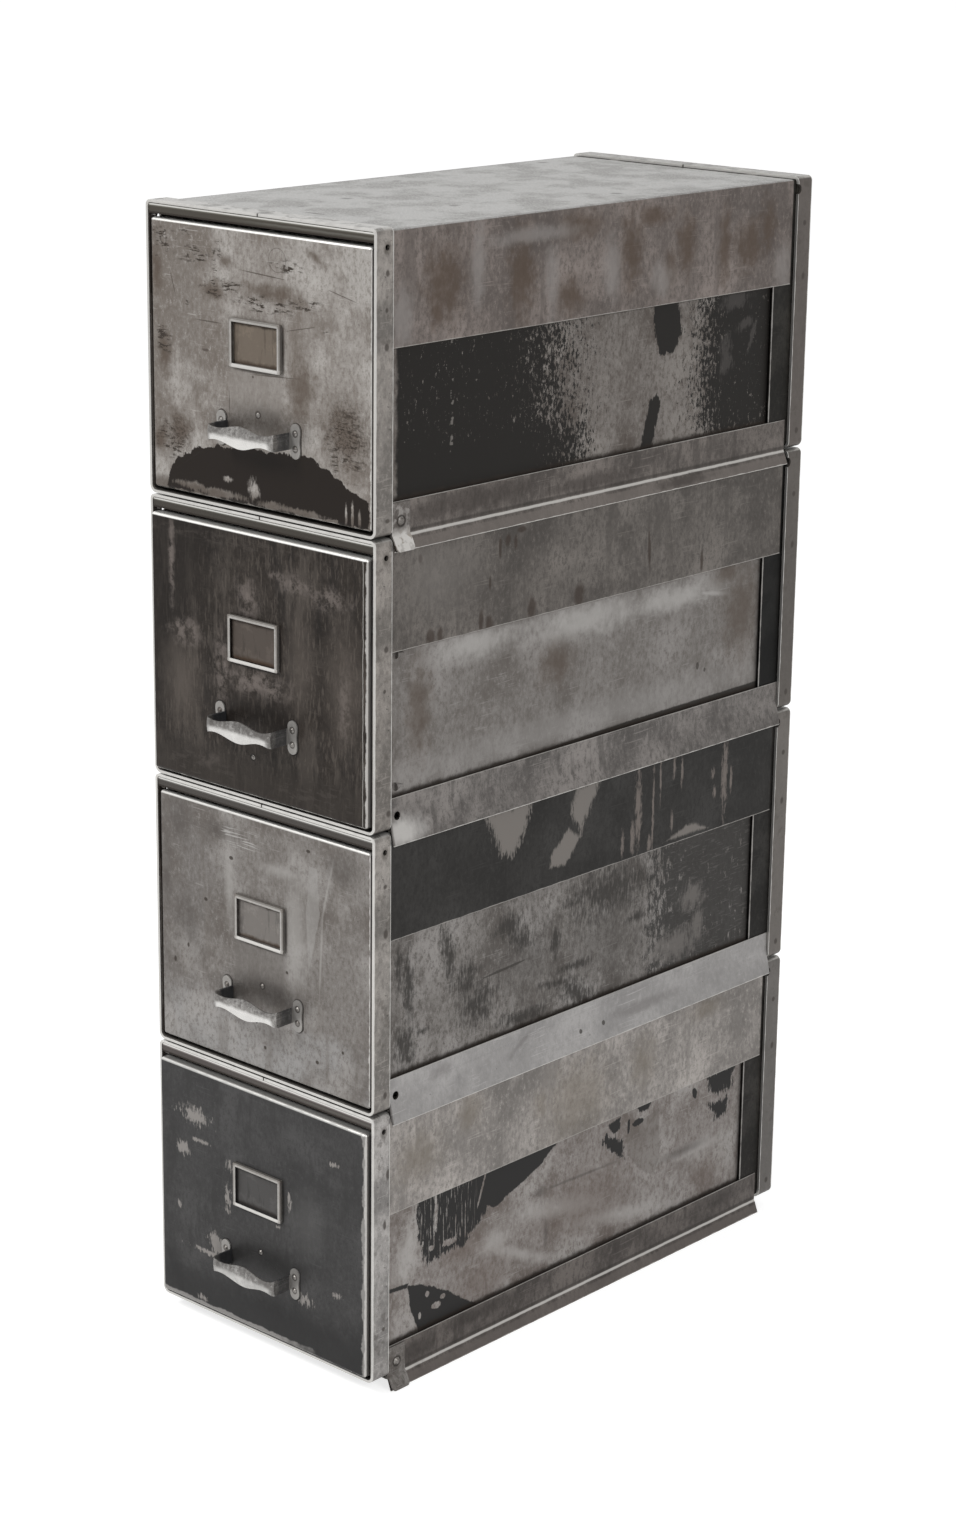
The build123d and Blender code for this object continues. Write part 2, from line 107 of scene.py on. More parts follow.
class Finish(Making):
    """One sheet-metal surface: its ground, then each stain, rub and scratch, and each painted
    highlight and shade, laid over it.

    The ground may be painted or bare: metal says how far light treats it as bare steel.
    Heights for the bump are in mm, and so is every place on the surface.
    """

    def __init__(self, name, ground, rough, metal, origin=(0, 0, 0)):
        self.material = bpy.data.materials.new(name)
        self.material.use_nodes = True
        super().__init__(self.material.node_tree)
        self.colour, self.rough, self.metal, self.height = ground, rough, metal, 0.0
        self.place = (self.node("TexCoord", out="Object") - tuple(origin)) * 1000.0
        self.x, self.y, self.z = (
            self.node("SeparateXYZ", {}, {0: self.place}, axis) for axis in range(3))
        self.front_view = self.node("CombineXYZ", {}, {0: self.x, 1: self.z})
        self.side_view = self.node("CombineXYZ", {}, {0: self.y, 1: self.z})
        self.top_view = self.node("CombineXYZ", {}, {0: self.x, 1: self.y})
        swing = 2.6    # brings both to about a quarter either way
        self.ragged = (self.grain(0.07, 5, 0.6) - 0.5) * swing
        fine = self.grain(0.5, 4, 0.7, stretch=(1.4, 1.4, 5.0), shift=3.0)
        self.scrubbed = (fine - 0.5) * swing

    def grain(self, scale, detail, rough, stretch=(1, 1, 1), shift=0.0):
        """Cloudy noise about 0.5; scale is per mm, and stretch draws it out along an axis."""
        where = self.place * tuple(scale / s for s in stretch) + shift
        return self.node("TexNoise", {}, {
            "Vector": where, "Scale": 1.0, "Detail": detail, "Roughness": rough})

    def lay(self, colour, mask, rough=None, metal=None, rise=0.0):
        """Covers what is there with a colour, where the mask says."""
        mixed = {0: mask, 6: self.colour, 7: colour}
        self.colour = self.node("Mix", {"data_type": "RGBA"}, mixed, 2)
        if rough is not None:
            self.rough = self.rough + (rough - self.rough) * mask
        if metal is not None:
            self.metal = self.metal + (metal - self.metal) * mask
        if rise:
            self.height = self.height + mask * rise

    def length(self, way):
        """How long a way is, from its parts along each axis."""
        return self.node("VectorMath", {"operation": "LENGTH"}, {0: way}, "Value")

    def spots(self, face, spots, tatter=0.5, fray=0.15, soft=0.12):
        """Ragged round spots as one mask; each has its centre, half sizes and turn in degrees.

        The places are in mm on a face seen square on, from the front foot of the unit.
        """
        whole = None
        for across, up, half_width, half_height, *turn in spots:
            reach = self.node("Mapping", {"vector_type": "TEXTURE"}, {
                "Vector": face, "Location": (across, up, 0.0),
                "Rotation": (0.0, 0.0, math.radians(turn[0] if turn else 0.0)),
                "Scale": (half_width, half_height, 1.0)})
            reach = self.length(reach)
            whole = reach if whole is None else whole & reach
        return (whole + self.ragged * tatter + self.scrubbed * fray).ramp(1 + soft, 1 - soft)

    def patch(self, face, corners, tatter, fray, soft=0.8):
        """A ragged patch inside an outline with no hollow side, its corners placed as spots are."""
        pairs = list(zip(corners, corners[1:] + corners[:1]))
        left_hand = sum(x0 * z1 - x1 * z0 for (x0, z0), (x1, z1) in pairs) > 0
        inside = None
        for (x0, z0), (x1, z1) in pairs:
            length = math.hypot(x1 - x0, z1 - z0) * (1 if left_hand else -1)
            inward = ((z0 - z1) / length, (x1 - x0) / length, 0.0)
            way = self.node(
                "VectorMath", {"operation": "DOT_PRODUCT"}, {0: face, 1: inward}, "Value")
            way = way - (x0 * inward[0] + z0 * inward[1])
            inside = way if inside is None else inside & way
        return (inside + self.ragged * tatter + self.scrubbed * fray).ramp(-soft, soft)

    def age(self, brown, pale, amount, pits=0.6):
        """Clouds of brown and of rubbed metal, fine mottling, pits and hair scratches."""
        clouds = self.grain(0.012, 5, 0.55).ramp(0.42, 0.66)
        self.lay(brown, clouds * (0.95 * amount), rough=0.5)
        rubbed = self.grain(0.014, 5, 0.55, shift=37.0).ramp(0.46, 0.68)
        self.lay(pale, rubbed * (0.9 * amount), rough=0.34)
        mottle = self.grain(0.18, 8, 0.84, stretch=(1, 1, 1.5), shift=11.0)
        self.lay(brown, mottle.ramp(0.48, 0.6) * (0.8 * amount))
        self.lay(pale, mottle.ramp(0.48, 0.36) * (0.7 * amount))
        self.height = self.height + self.grain(0.02, 2, 0.5) * 0.4 + mottle * 0.05
        scratch = self.grain(0.6, 3, 0.5, stretch=(22, 22, 0.9), shift=5.0).ramp(0.62, 0.68)
        here_and_there = self.grain(0.02, 3, 0.5, shift=71.0).ramp(0.45, 0.58)
        self.lay(pale, scratch * here_and_there * 0.5, rough=0.3, rise=-0.012)
        pit = self.grain(0.4, 4, 0.65, stretch=(1.8, 1.8, 1.0), shift=23.0).ramp(0.66, 0.72)
        self.lay(shade(brown, 0.3), pit * pits, rough=0.6, rise=-0.03)

    def run_down(self, colour, scale, low, amount, shift):
        """Stains that have run down the face: narrow across, long up and down."""
        runs = self.grain(scale, 4, 0.6, stretch=(1, 1, 5), shift=shift).ramp(low, low + 0.1)
        self.lay(colour, runs * amount, rough=0.55)

    def corner_dirt_and_shade(self, distance, colour, width, amount):
        """Dirt and painted shade kept in a corner; distance is the way to the corner in mm."""
        dirt = (distance + self.ragged * (0.5 * width)).ramp(width, 0.0)
        self.lay(colour, dirt * amount, rough=0.6, metal=0.1)

    def worn_edge_highlight(self, distance, colour, width, amount=0.85):
        """An edge rubbed bright and given a painted highlight; distance is the way to the edge in
        mm.
        """
        worn = (distance + self.ragged * (0.8 * width)).ramp(width, 0.4 * width)
        self.lay(colour, worn * amount, rough=0.28, metal=0.9)

    def made(self):
        """Joins what has been laid to the shader and gives the material."""
        normal = self.node("Bump", {}, {"Strength": 1.0, "Distance": 0.001, "Height": self.height})
        skin = self.node("BsdfPrincipled", {}, {
            "Base Color": self.colour, "Roughness": self.rough, "Metallic": self.metal,
            "Normal": normal, "Specular IOR Level": 0.1})
        self.node("OutputMaterial", {}, {"Surface": skin})
        return self.material


def shade(colour, share):
    """The same colour, darker or paler by a factor."""
    return tuple(share * part for part in colour)


def dress(name, material, edge):
    """Gives a piece its finish, and rolls its sheet edges by a few tenths of a millimetre.

    With an edge of 0 the piece stays as it was cut.
    """
    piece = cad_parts[name]
    piece.data.materials.clear()
    piece.data.materials.append(material)
    weld = piece.modifiers.new("joined", "WELD")
    weld.merge_threshold = 0.00001
    if edge:
        rolled = piece.modifiers.new("rolled edge", "BEVEL")
        rolled.width = edge / 1000
        rolled.segments = 2
        rolled.limit_method = "ANGLE"
        rolled.angle_limit = math.radians(32)
        rolled.face_strength_mode = "FSTR_ALL"
        flat = piece.modifiers.new("flat faces", "WEIGHTED_NORMAL")
        flat.use_face_influence = True
    return piece


units = (1, 2, 3, 4)
unit_corner = {}
for unit in units:
    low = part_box(f"unit_{unit}_front_band")[0]
    unit_corner[unit] = (0.0, low.y, low.z)


def span(box, unit=1):
    """Lowest and highest corners of a box in mm, from the front foot of its unit."""
    return [(corner - Vector(unit_corner[unit])) * 1000 for corner in box]


band_width, band_height = span(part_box("unit_1_front_band"))[1].yz
case_length = span(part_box("unit_1_rear_band"))[1].y
cover_half, _, cover_top = span(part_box("unit_1_top_cover"))[1]
dark_brown = (0.03, 0.024, 0.02)
# Bright steel laid as painted highlight on rubbed edges and folds.
highlight_steel = (0.62, 0.61, 0.585)
# Near black laid as painted shade in gaps.
painted_shade_black = (0.012, 0.011, 0.01)
band_tones = {
    1: ((0.220, 0.203, 0.187), (0.088, 0.076, 0.069)),
    2: ((0.205, 0.188, 0.172), (0.086, 0.077, 0.070)),
    3: ((0.225, 0.209, 0.193), (0.120, 0.109, 0.100)),
    4: ((0.275, 0.262, 0.251), (0.103, 0.095, 0.088)),
}
rear_dimples = [(684, 254, 2.8, 2.8), (685, 195, 2.6, 4.0), (684, 20, 2.8, 3.4)]
weld_dimples = {
    1: [(16, 262, 2.6, 3.2), (15, 226, 2.2, 2.6), (15, 190, 3.2, 3.6), (17, 17, 3.4, 2.4)],
    2: [(16, 193, 3.2, 3.2), (20, 20, 3.0, 3.6), (14, 150, 2.0, 2.0)],
    3: [(17, 199, 3.4, 5.5), (16, 250, 2.4, 2.4), (17, 20, 2.8, 4.0)],
    4: [(22, 237, 3.0, 6.0), (17, 180, 2.2, 5.0), (16, 60, 2.4, 2.4)],
}
for unit in units:
    front_tone, rear_tone = band_tones[unit]
    band = Finish(f"band_steel_{unit}", front_tone, 0.4, 0.5, unit_corner[unit])
    band.age(shade(front_tone, 0.5), shade(front_tone, 1.6), 0.7, 0.7)
    at_front, at_rear = band.y.ramp(400, 300), band.y.ramp(300, 400)
    band.lay(rear_tone, at_rear * 0.85, rough=0.48)
    drips = band.grain(0.07, 4, 0.6, shift=3.0 * unit).ramp(0.58, 0.66)
    band.lay((0.07, 0.06, 0.052), drips * 0.4)
    dimple = band.spots(band.side_view, weld_dimples[unit] + rear_dimples, tatter=0.25, soft=0.4)
    band.lay((0.06, 0.052, 0.046), dimple * 0.85, rough=0.55, rise=-0.15)
    hole_dirt = band.spots(band.side_view, [(15.5, 286, 5.0, 6.5)], tatter=0.3, soft=0.4)
    band.lay((0.08, 0.07, 0.06), hole_dirt * 0.5)
    to_middle = abs(band.y - band_width / 2) & abs(band.y - (case_length - band_width / 2))
    to_edge = band_width / 2 - to_middle
    upper = band.z.ramp(band_height - 3, band_height - 1)
    band.lay((0.46, 0.45, 0.43), upper * at_front * 0.85, rough=0.34, metal=0.6)
    band.lay((0.36, 0.35, 0.332), upper * at_rear * 0.8, rough=0.34)
    dulled = band.grain(0.05, 6, 0.7, shift=19.0).ramp(0.47, 0.58)
    band.lay((0.12, 0.112, 0.1), upper * dulled * 0.8)
    polished = band.grain(0.09, 5, 0.7, shift=29.0).ramp(0.5, 0.66)
    band.lay((0.5, 0.485, 0.455), upper * polished * 0.5, rough=0.3)
    # Dirt and painted shade along the front band's rear edge.
    band.corner_dirt_and_shade(abs(band.y - band_width), dark_brown, 2.4, 0.55)
    # Painted shade: the band's inner faces, seen only through the gaps, are laid near black.
    inner_side = abs(band.x).ramp(cover_half + 0.6, cover_half + 0.1)
    shaded_inside = inner_side * band.z.ramp(cover_top - 0.4, cover_top - 1.0) * band.y.ramp(1.5, 4)
    band.lay(painted_shade_black, shaded_inside * 0.85, rough=0.6, metal=0.1)
    # Edges rubbed bright, with a painted highlight.
    band.worn_edge_highlight(to_edge, highlight_steel, 1.3, 0.68)
    seam = abs(band.x).ramp(1.3, 0.5) * band.z.ramp(290, 300)
    band.lay(dark_brown, seam * 0.9)
    steel = band.made()
    for end in ("front", "rear"):
        dress(f"unit_{unit}_{end}_band", steel, 0.0)


# Top covers
# One 1 mm sheet is bent over each case and part way down its sides, with a
# header turned down over the drawer. Only the highest is seen from above; the
# flanges show bare or painted steel with runs of brown. The header has a painted
# highlight along its top fold, on units 1 and 4 a second across its middle, and
# painted shade along its lower edge; dirt and painted shade lie beside the bands.

cover_tones = {
    1: (0.152, 0.130, 0.119),
    2: (0.112, 0.101, 0.092),
    3: (0.027, 0.0255, 0.024),
    4: (0.262, 0.243, 0.227),
}
header_tones = {
    1: (0.12, 0.115, 0.096),
    2: (0.1, 0.096, 0.083),
    3: (0.15, 0.144, 0.136),
    4: (0.2, 0.18, 0.175),
}
flange_foot = span(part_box("unit_1_top_cover"))[0].z
for unit in units:
    tone = cover_tones[unit]
    bare = 0.1 if unit == 3 else 0.45
    cover = Finish(f"cover_steel_{unit}", tone, 0.46, bare, unit_corner[unit])
    face = cover.side_view
    if unit == 3:
        cover.age((0.017, 0.016, 0.015), (0.042, 0.04, 0.038), 0.8, 0.3)
        rubbed = cover.patch(
            face, [(170, 292), (246, 292), (228, 250), (213, 236), (198, 242)], 4, 14, 4)
        rubbed = rubbed | cover.patch(
            face, [(288, 290), (358, 290), (318, 226), (300, 236), (309, 262)], 4, 10, 4)
        rubbed = rubbed | cover.patch(
            face, [(277, 221), (277, 209), (301, 206), (326, 232), (306, 246)], 3, 5, 2)
        rubbed = rubbed | cover.patch(
            face, [(478, 193), (548, 192), (528, 202), (510, 203)], 2, 3, 2)
        cover.lay((0.175, 0.16, 0.147), rubbed * 0.92, rough=0.42, metal=0.5)
        dribbles = cover.spots(face, [
            (424, 238, 4.5, 34), (415, 212, 3, 18), (450, 240, 1.6, 44), (462, 268, 1.4, 22),
            (484, 214, 2, 9), (486, 278, 2, 10), (500, 270, 1.6, 18), (578, 250, 4.5, 38),
            (560, 232, 3, 5), (556, 256, 2.6, 5), (590, 240, 2, 12), (398, 205, 2.4, 12),
            (445, 196, 3, 7)], tatter=0.6, fray=1.6, soft=0.6)
        cover.lay((0.16, 0.138, 0.125), dribbles * 0.88, rough=0.45, metal=0.5)
    else:
        cover.age(shade(tone, 0.55), shade(tone, 1.5), 0.9, 0.4)
        cover.run_down(shade(tone, 0.7), 0.05, 0.54, 0.5, 9.0 * unit)
    if unit == 1:
        browned = cover.spots(face, [
            (308, 283, 30, 13), (215, 240, 18, 42), (290, 213, 20, 16), (388, 252, 15, 38),
            (422, 284, 26, 9), (480, 248, 14, 27), (588, 238, 22, 24), (100, 246, 26, 34),
            (622, 258, 12, 22), (452, 225, 9, 20), (545, 240, 10, 34), (90, 215, 10, 14)],
            tatter=0.9, fray=0.25, soft=0.75)
        cover.lay((0.078, 0.056, 0.042), browned * 0.8, rough=0.52)
        cleaner = cover.spots(face, [
            (356, 232, 12, 26), (262, 232, 9, 30), (440, 215, 14, 16), (652, 205, 14, 22),
            (40, 215, 14, 28), (150, 255, 9, 36), (235, 280, 60, 7)],
            tatter=0.9, fray=0.3, soft=0.8)
        cover.lay((0.235, 0.218, 0.208), cleaner * 0.6, rough=0.4)
    if unit == 2:
        teeth = cover.spots(face, [
            (84, 193, 6, 8), (98, 192, 5, 9), (160, 197, 4, 13), (172, 191, 6, 9),
            (238, 196, 7, 13), (315, 197, 7, 13), (523, 203, 2.4, 13), (431, 228, 2.2, 23, 4),
            (68, 277, 3, 4), (188, 270, 2, 11), (200, 276, 4, 6), (212, 271, 3, 7),
            (222, 284, 6, 3), (173, 235, 2, 7)], tatter=0.6, soft=0.4)
        cover.lay((0.045, 0.034, 0.028), teeth * 0.8, rough=0.55)
        wiped = cover.spots(face, [(95, 255, 50, 34)], soft=0.9)
        cover.lay((0.15, 0.138, 0.128), wiped * 0.6)
    if unit == 4:
        tinted = cover.spots(face, [
            (72, 240, 30, 24), (152, 268, 16, 18), (330, 228, 46, 40), (560, 276, 26, 10),
            (268, 240, 10, 16), (446, 242, 18, 24)], tatter=0.8, soft=0.9)
        cover.lay((0.16, 0.138, 0.112), tinted * 0.6)
    above = cover.z.ramp(cover_top - 1.4, cover_top - 0.4)
    cover.lay((0.34, 0.335, 0.325), above, rough=0.4, metal=0.45)
    clouds = cover.grain(0.016, 7, 0.72, shift=44.0).ramp(0.44, 0.6)
    cover.lay((0.2, 0.194, 0.184), above * clouds * 0.85, rough=0.46)
    speckle = cover.grain(0.4, 4, 0.8, shift=64.0).ramp(0.5, 0.6)
    cover.lay((0.5, 0.495, 0.48), above * speckle * 0.7)
    pitted = cover.grain(0.2, 5, 0.8, shift=54.0).ramp(0.6, 0.66)
    cover.lay((0.15, 0.14, 0.126), above * pitted * 0.8, rise=-0.03)
    if unit == 1:
        dents = cover.spots(cover.top_view, [
            (-121, 325, 4, 6), (-46, 172, 6, 5), (70, 212, 5, 6), (115, 418, 6, 6),
            (-138, 585, 5, 7), (20, 60, 16, 3), (-30, 90, 3, 3)], soft=0.5)
        cover.lay((0.1, 0.092, 0.084), above * dents * 0.8, rise=-0.1)
    fold_line = abs(abs(cover.x) - (cover_half - 3.4)).ramp(1.3, 0.5)
    cover.lay((0.1, 0.094, 0.085), above * fold_line * 0.7)
    header = cover.y.ramp(4.5, 2.5)
    cover.lay(header_tones[unit], header * 0.95, rough=0.36, metal=0.7)
    # Painted highlight: a pale line across the middle of the header on units 1 and 4.
    if unit in (1, 4):
        header_highlight = abs(cover.z - (cover_top - 6.6) + cover.ragged * 0.8).ramp(1.5, 0.4)
        header_highlight = header_highlight * cover.x.ramp(-60, 40)
        cover.lay((0.27, 0.265, 0.235), header * header_highlight * 0.85, rough=0.3)
    # Painted shade: the header's lower edge, over the gap above the drawer, is laid near black.
    header_gap_shadow = cover.z.ramp(cover_top - 8.2, cover_top - 9.6)
    cover.lay((0.01, 0.009, 0.008), header * header_gap_shadow * 0.9, metal=0.0)
    # Painted highlight along the header's top fold.
    header_fold_highlight = abs(cover.z - (cover_top - 1.7)).ramp(1.0, 0.5)
    cover.lay(highlight_steel, header * header_fold_highlight * 0.9, rough=0.28, metal=0.9)
    side_only = cover.z.ramp(cover_top - 2.6, cover_top - 4.6)
    # Dirt and painted shade beside the front and rear bands; the flange's foot is rubbed bright
    # with a painted highlight.
    cover.corner_dirt_and_shade(cover.y - (band_width + 0.5) + (1 - side_only) * 50.0, dark_brown, 3.0, 0.7)
    cover.corner_dirt_and_shade(case_length - band_width - 2.5 - cover.y, dark_brown, 5.0, 0.7)
    cover.worn_edge_highlight(cover.z - flange_foot, (0.34, 0.325, 0.305), 1.0, 0.75)
    dress(f"unit_{unit}_top_cover", cover.made(), 0.3)


# Side panels
# Each side is a separate sheet spot-welded behind the cover's flange, its
# middle pressed in 3.5 mm. Old charcoal paint is left on three of them, rubbed
# through to grey steel where things have leaned on it. Dirt and painted shade
# run along the flange, the rail and the band, painted shade lies beside the back
# panel's flange, and the panels of units 2 and 4 carry painted sheen.

rail_foot, rail_top = (corner.z for corner in span(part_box("unit_1_right_rail")))
back_flange, back_face = (corner.y for corner in span(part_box("unit_1_back_panel")))
left_turned_at = 660.0    # wear on the left runs the other way from this line
old_paint = (0.014, 0.0125, 0.0112)


def panel_of_unit_1(panel):
    """Nearly all paint, worn away in the middle to brown and grey steel."""
    panel.age((0.08, 0.067, 0.058), (0.22, 0.203, 0.187), 0.95)
    face = panel.side_view
    crumbs = panel.grain(0.3, 6, 0.8, stretch=(1, 1, 1.8), shift=29.0) - 0.5
    kept = panel.y.ramp(400, 175) + panel.z.ramp(90, 60) * panel.y.ramp(345, 325) * 0.3
    kept = kept | panel.y.ramp(455, 575) - panel.z.ramp(60, 30) * 0.2
    paint = (kept + crumbs * 3.6 + panel.ragged * 0.3).ramp(0.44, 0.6)
    paint = paint * (panel.y + panel.ragged * 5).ramp(34, 40)
    blob = panel.patch(
        face, [(431, 200), (473, 200), (480, 152), (470, 132), (446, 132), (433, 160)], 4, 7)
    tail = panel.patch(face, [(412, 20), (432, 20), (448, 82), (441, 90), (430, 86)], 3, 5)
    paint = paint | blob | tail
    panel.lay(old_paint, paint, rough=0.5, metal=0.1)
    wiped = panel.spots(face, [
        (592, 150, 14, 5, 20), (575, 178, 24, 9), (606, 138, 3, 16, -20), (560, 118, 10, 20)],
        tatter=1.0, fray=0.9, soft=0.5)
    panel.lay((0.055, 0.05, 0.047), wiped * 0.8)
    ticks = panel.grain(0.13, 2, 0.5, stretch=(1, 1.4, 1), shift=7.0).ramp(0.6, 0.64)
    tick_line = abs(panel.y - 117.0 + panel.ragged * 3).ramp(2.4, 1.2)
    panel.lay((0.14, 0.13, 0.12), ticks * tick_line * 0.9)


def panel_of_unit_2(panel):
    """Bare satin steel, browned toward the rear, with soft sweeps of painted sheen and painted
    shade above the rail.
    """
    panel.age((0.105, 0.093, 0.084), (0.25, 0.236, 0.225), 0.85, 0.2)
    face = panel.side_view
    # Painted sheen: soft bright sweeps high and low on the panel.
    sweeps = panel.spots(face, [
        (160, 172, 52, 13), (330, 168, 74, 17), (480, 165, 70, 12), (545, 160, 24, 3, -10)],
        tatter=0.9, soft=0.95)
    panel.lay((0.36, 0.348, 0.333), sweeps * 0.75, rough=0.36)
    low_sheen = panel.spots(face, [(330, 55, 300, 16)], soft=0.8)
    panel.lay((0.24, 0.23, 0.22), low_sheen * 0.5, rough=0.36)
    stain = panel.spots(face, [
        (602, 128, 28, 46), (285, 128, 26, 20), (72, 120, 16, 44), (580, 178, 24, 12)],
        tatter=0.9, soft=0.9)
    panel.lay((0.085, 0.066, 0.053), stain * 0.75)
    panel.lay(dark_brown, panel.spots(face, [(527, 79, 2.4, 4), (540, 72, 2, 2.4)]) * 0.7)
    # Painted shade: a dark band above the rail, widening toward the rear.
    shadow_above_rail = panel.patch(face, [(30, 20), (655, 20), (655, 45), (400, 38.5), (30, 35)], 1, 0.6)
    panel.lay((0.02, 0.018, 0.016), shadow_above_rail * 0.9, rough=0.6, metal=0.1)


def panel_of_unit_3(panel):
    """Grey steel with smudged dark scrubbing, and thin dark paint over its rear third."""
    panel.age((0.085, 0.076, 0.069), (0.25, 0.236, 0.225), 1.0)
    face = panel.side_view
    smudge = panel.spots(face, [
        (45, 152, 5, 20), (58, 128, 7, 34, 6), (120, 150, 8, 28, 10), (150, 108, 12, 20),
        (215, 156, 16, 11), (236, 135, 16, 10, -30), (166, 80, 22, 20), (292, 120, 6, 12),
        (322, 155, 16, 4), (382, 156, 48, 20), (430, 112, 14, 4), (330, 48, 34, 10, -30),
        (238, 44, 30, 8), (54, 62, 12, 22), (80, 72, 7, 3), (325, 82, 22, 4),
        (300, 68, 30, 4, -8)], tatter=1.0, fray=1.8, soft=0.9)
    panel.lay((0.036, 0.033, 0.03), smudge * 0.9, rough=0.52, metal=0.2)
    haze = panel.spots(
        face, [(385, 110, 60, 70), (250, 110, 50, 40)], tatter=0.9, fray=1.6, soft=0.95)
    panel.lay((0.045, 0.041, 0.038), haze * 0.4)
    stroke = panel.spots(face, [(208, 108, 36, 1.6, 3)], tatter=0.4)
    panel.lay((0.04, 0.036, 0.032), stroke * 0.8)
    crumbs = panel.grain(0.2, 6, 0.75, stretch=(1, 1, 2.4), shift=17.0) - 0.5
    thin = (panel.y.ramp(400, 520) + crumbs * 3.2 + panel.ragged * 0.4).ramp(0.4, 0.7)
    panel.lay((0.034, 0.032, 0.03), thin * 0.92, rough=0.5, metal=0.1)
    cleared = panel.spots(face, [(530, 112, 18, 14), (541, 76, 8, 20), (500, 60, 40, 16)],
                          tatter=1.0, fray=1.0, soft=0.6)
    panel.lay((0.15, 0.138, 0.129), cleared * 0.8)
    scuffs = panel.grain(0.4, 4, 0.7, stretch=(8, 8, 1), shift=9.0).ramp(0.56, 0.64)
    panel.lay((0.1, 0.095, 0.09), thin * scuffs * 0.6)


def panel_of_unit_4(panel):
    """Light steel clouded with brown; tongues of paint under the flange and along the rail; painted
    sheen, and painted shade in its dents.
    """
    panel.age((0.12, 0.1, 0.089), (0.31, 0.294, 0.28), 0.95, 0.4)
    face = panel.side_view
    patina = panel.patch(
        face, [(425, 160), (482, 172), (486, 108), (474, 92), (450, 104), (428, 130)], 3, 1)
    panel.lay((0.13, 0.115, 0.104), patina * 0.5)
    # Painted sheen: bright diagonal streaks.
    sheen_streaks = panel.spots(face, [
        (60, 130, 14, 30, -20), (300, 105, 70, 10, -12), (240, 70, 60, 6, -25),
        (420, 60, 70, 8, -10), (200, 100, 20, 14), (560, 100, 40, 8)],
        tatter=0.9, fray=0.4, soft=0.9)
    panel.lay((0.36, 0.345, 0.33), sheen_streaks * 0.65, rough=0.36)
    browned = panel.spots(face, [
        (350, 95, 60, 34), (180, 60, 40, 22), (150, 105, 30, 14), (575, 60, 26, 24)],
        tatter=0.9, soft=0.9)
    panel.lay((0.12, 0.092, 0.078), browned * 0.5)
    tongue = panel.patch(
        face, [(72, 200), (186, 200), (186, 140), (150, 112), (90, 108), (76, 150)], 6, 12, 1.5)
    tongue = tongue | panel.patch(face, [
        (150, 200), (362, 200), (340, 189), (270, 164), (214, 130), (196, 140), (165, 142)],
        2.5, 1.5)
    scraped = panel.grain(0.4, 4, 0.65, stretch=(1, 1, 12), shift=2.0).ramp(0.56, 0.6)
    scraped = scraped * panel.y.ramp(175, 150)
    bald = panel.spots(face, [
        (178, 168, 1.6, 20, -20), (126, 122, 10, 4), (98, 124, 4, 3), (104, 165, 2, 24)], fray=0.8)
    foot = panel.patch(
        face, [(52, 95), (66, 62), (74, 20), (190, 20), (120, 67), (85, 86)], 3, 2)
    foot = foot | panel.patch(face, [(28, 98), (62, 95), (60, 90), (28, 94)], 1, 1)
    holes = panel.spots(
        face, [(106, 54, 7, 4), (92, 72, 3, 3), (116, 61, 4, 3), (80, 50, 2, 4)], fray=0.4)
    flakes = panel.spots(
        face, [(445, 166, 9, 4), (548, 171, 4, 8, 20), (428, 166, 2.4, 9)], fray=0.5)
    for corners, *ragged_edge in (
            ([(380, 159), (389, 168), (418, 151), (421, 129), (411, 131), (394, 147)], 4, 9),
            ([(389, 178), (413, 182), (412, 167), (400, 164)], 3, 3),
            ([(439, 190), (471, 190), (463, 175), (446, 177)], 3, 3),
            ([(566, 186), (620, 186), (618, 160), (590, 157), (574, 172)], 5, 12, 2),
            ([(575, 148), (614, 148), (610, 127), (590, 126)], 5, 12, 2)):
        flakes = flakes | panel.patch(face, corners, *ragged_edge)
    paint = tongue * (1 - scraped * 0.8) * (1 - bald) | foot * (1 - holes) | flakes
    panel.lay((0.022, 0.021, 0.0205), paint, rough=0.5, metal=0.0, rise=0.03)
    # Dents pressed into the sheet, with painted shade laid in them.
    crease = panel.spots(face, [
        (275, 133, 8, 5), (340, 131, 60, 1.6, -2), (528, 104, 34, 5), (286, 78, 3, 14)],
        tatter=0.4, soft=0.9)
    panel.lay((0.09, 0.08, 0.074), crease * 0.65, rise=-0.25)


panels = {
    1: (panel_of_unit_1, (0.158, 0.143, 0.132)),
    2: (panel_of_unit_2, (0.172, 0.16, 0.15)),
    3: (panel_of_unit_3, (0.172, 0.16, 0.15)),
    4: (panel_of_unit_4, (0.225, 0.205, 0.193)),
}
for unit, (lay_wear, tone) in panels.items():
    for side in ("right", "left"):
        panel = Finish(f"{side}_panel_{unit}", tone, 0.45, 0.4, unit_corner[unit])
        if side == "left":
            from_rear = left_turned_at - panel.y
            panel.side_view = panel.node("CombineXYZ", {}, {0: from_rear, 1: panel.z})
        lay_wear(panel)
        # Dirt and painted shade under the flange, above the rail and behind the band.
        panel.corner_dirt_and_shade(flange_foot + 1.0 - panel.z, dark_brown, 4.5, 0.8)
        panel.corner_dirt_and_shade(panel.z - rail_top, dark_brown, 6.0, 0.9)
        panel.corner_dirt_and_shade(panel.y - (band_width + 0.5), dark_brown, 4.0, 0.75)
        # Painted shade: the panel is laid near black beside and under the back panel's flange.
        shaded_under_flange = panel.y.ramp(back_flange - 3, back_flange + 3)
        panel.lay((0.008, 0.0075, 0.007), shaded_under_flange, rough=0.5, metal=0.0)
        dress(f"unit_{unit}_{side}_side_panel", panel.made(), 0.35)


# Back panels
# The back is a pan whose flanges wrap round both sides and lie over the side
# panels, joggled in under the cover. It kept most of its charcoal paint.

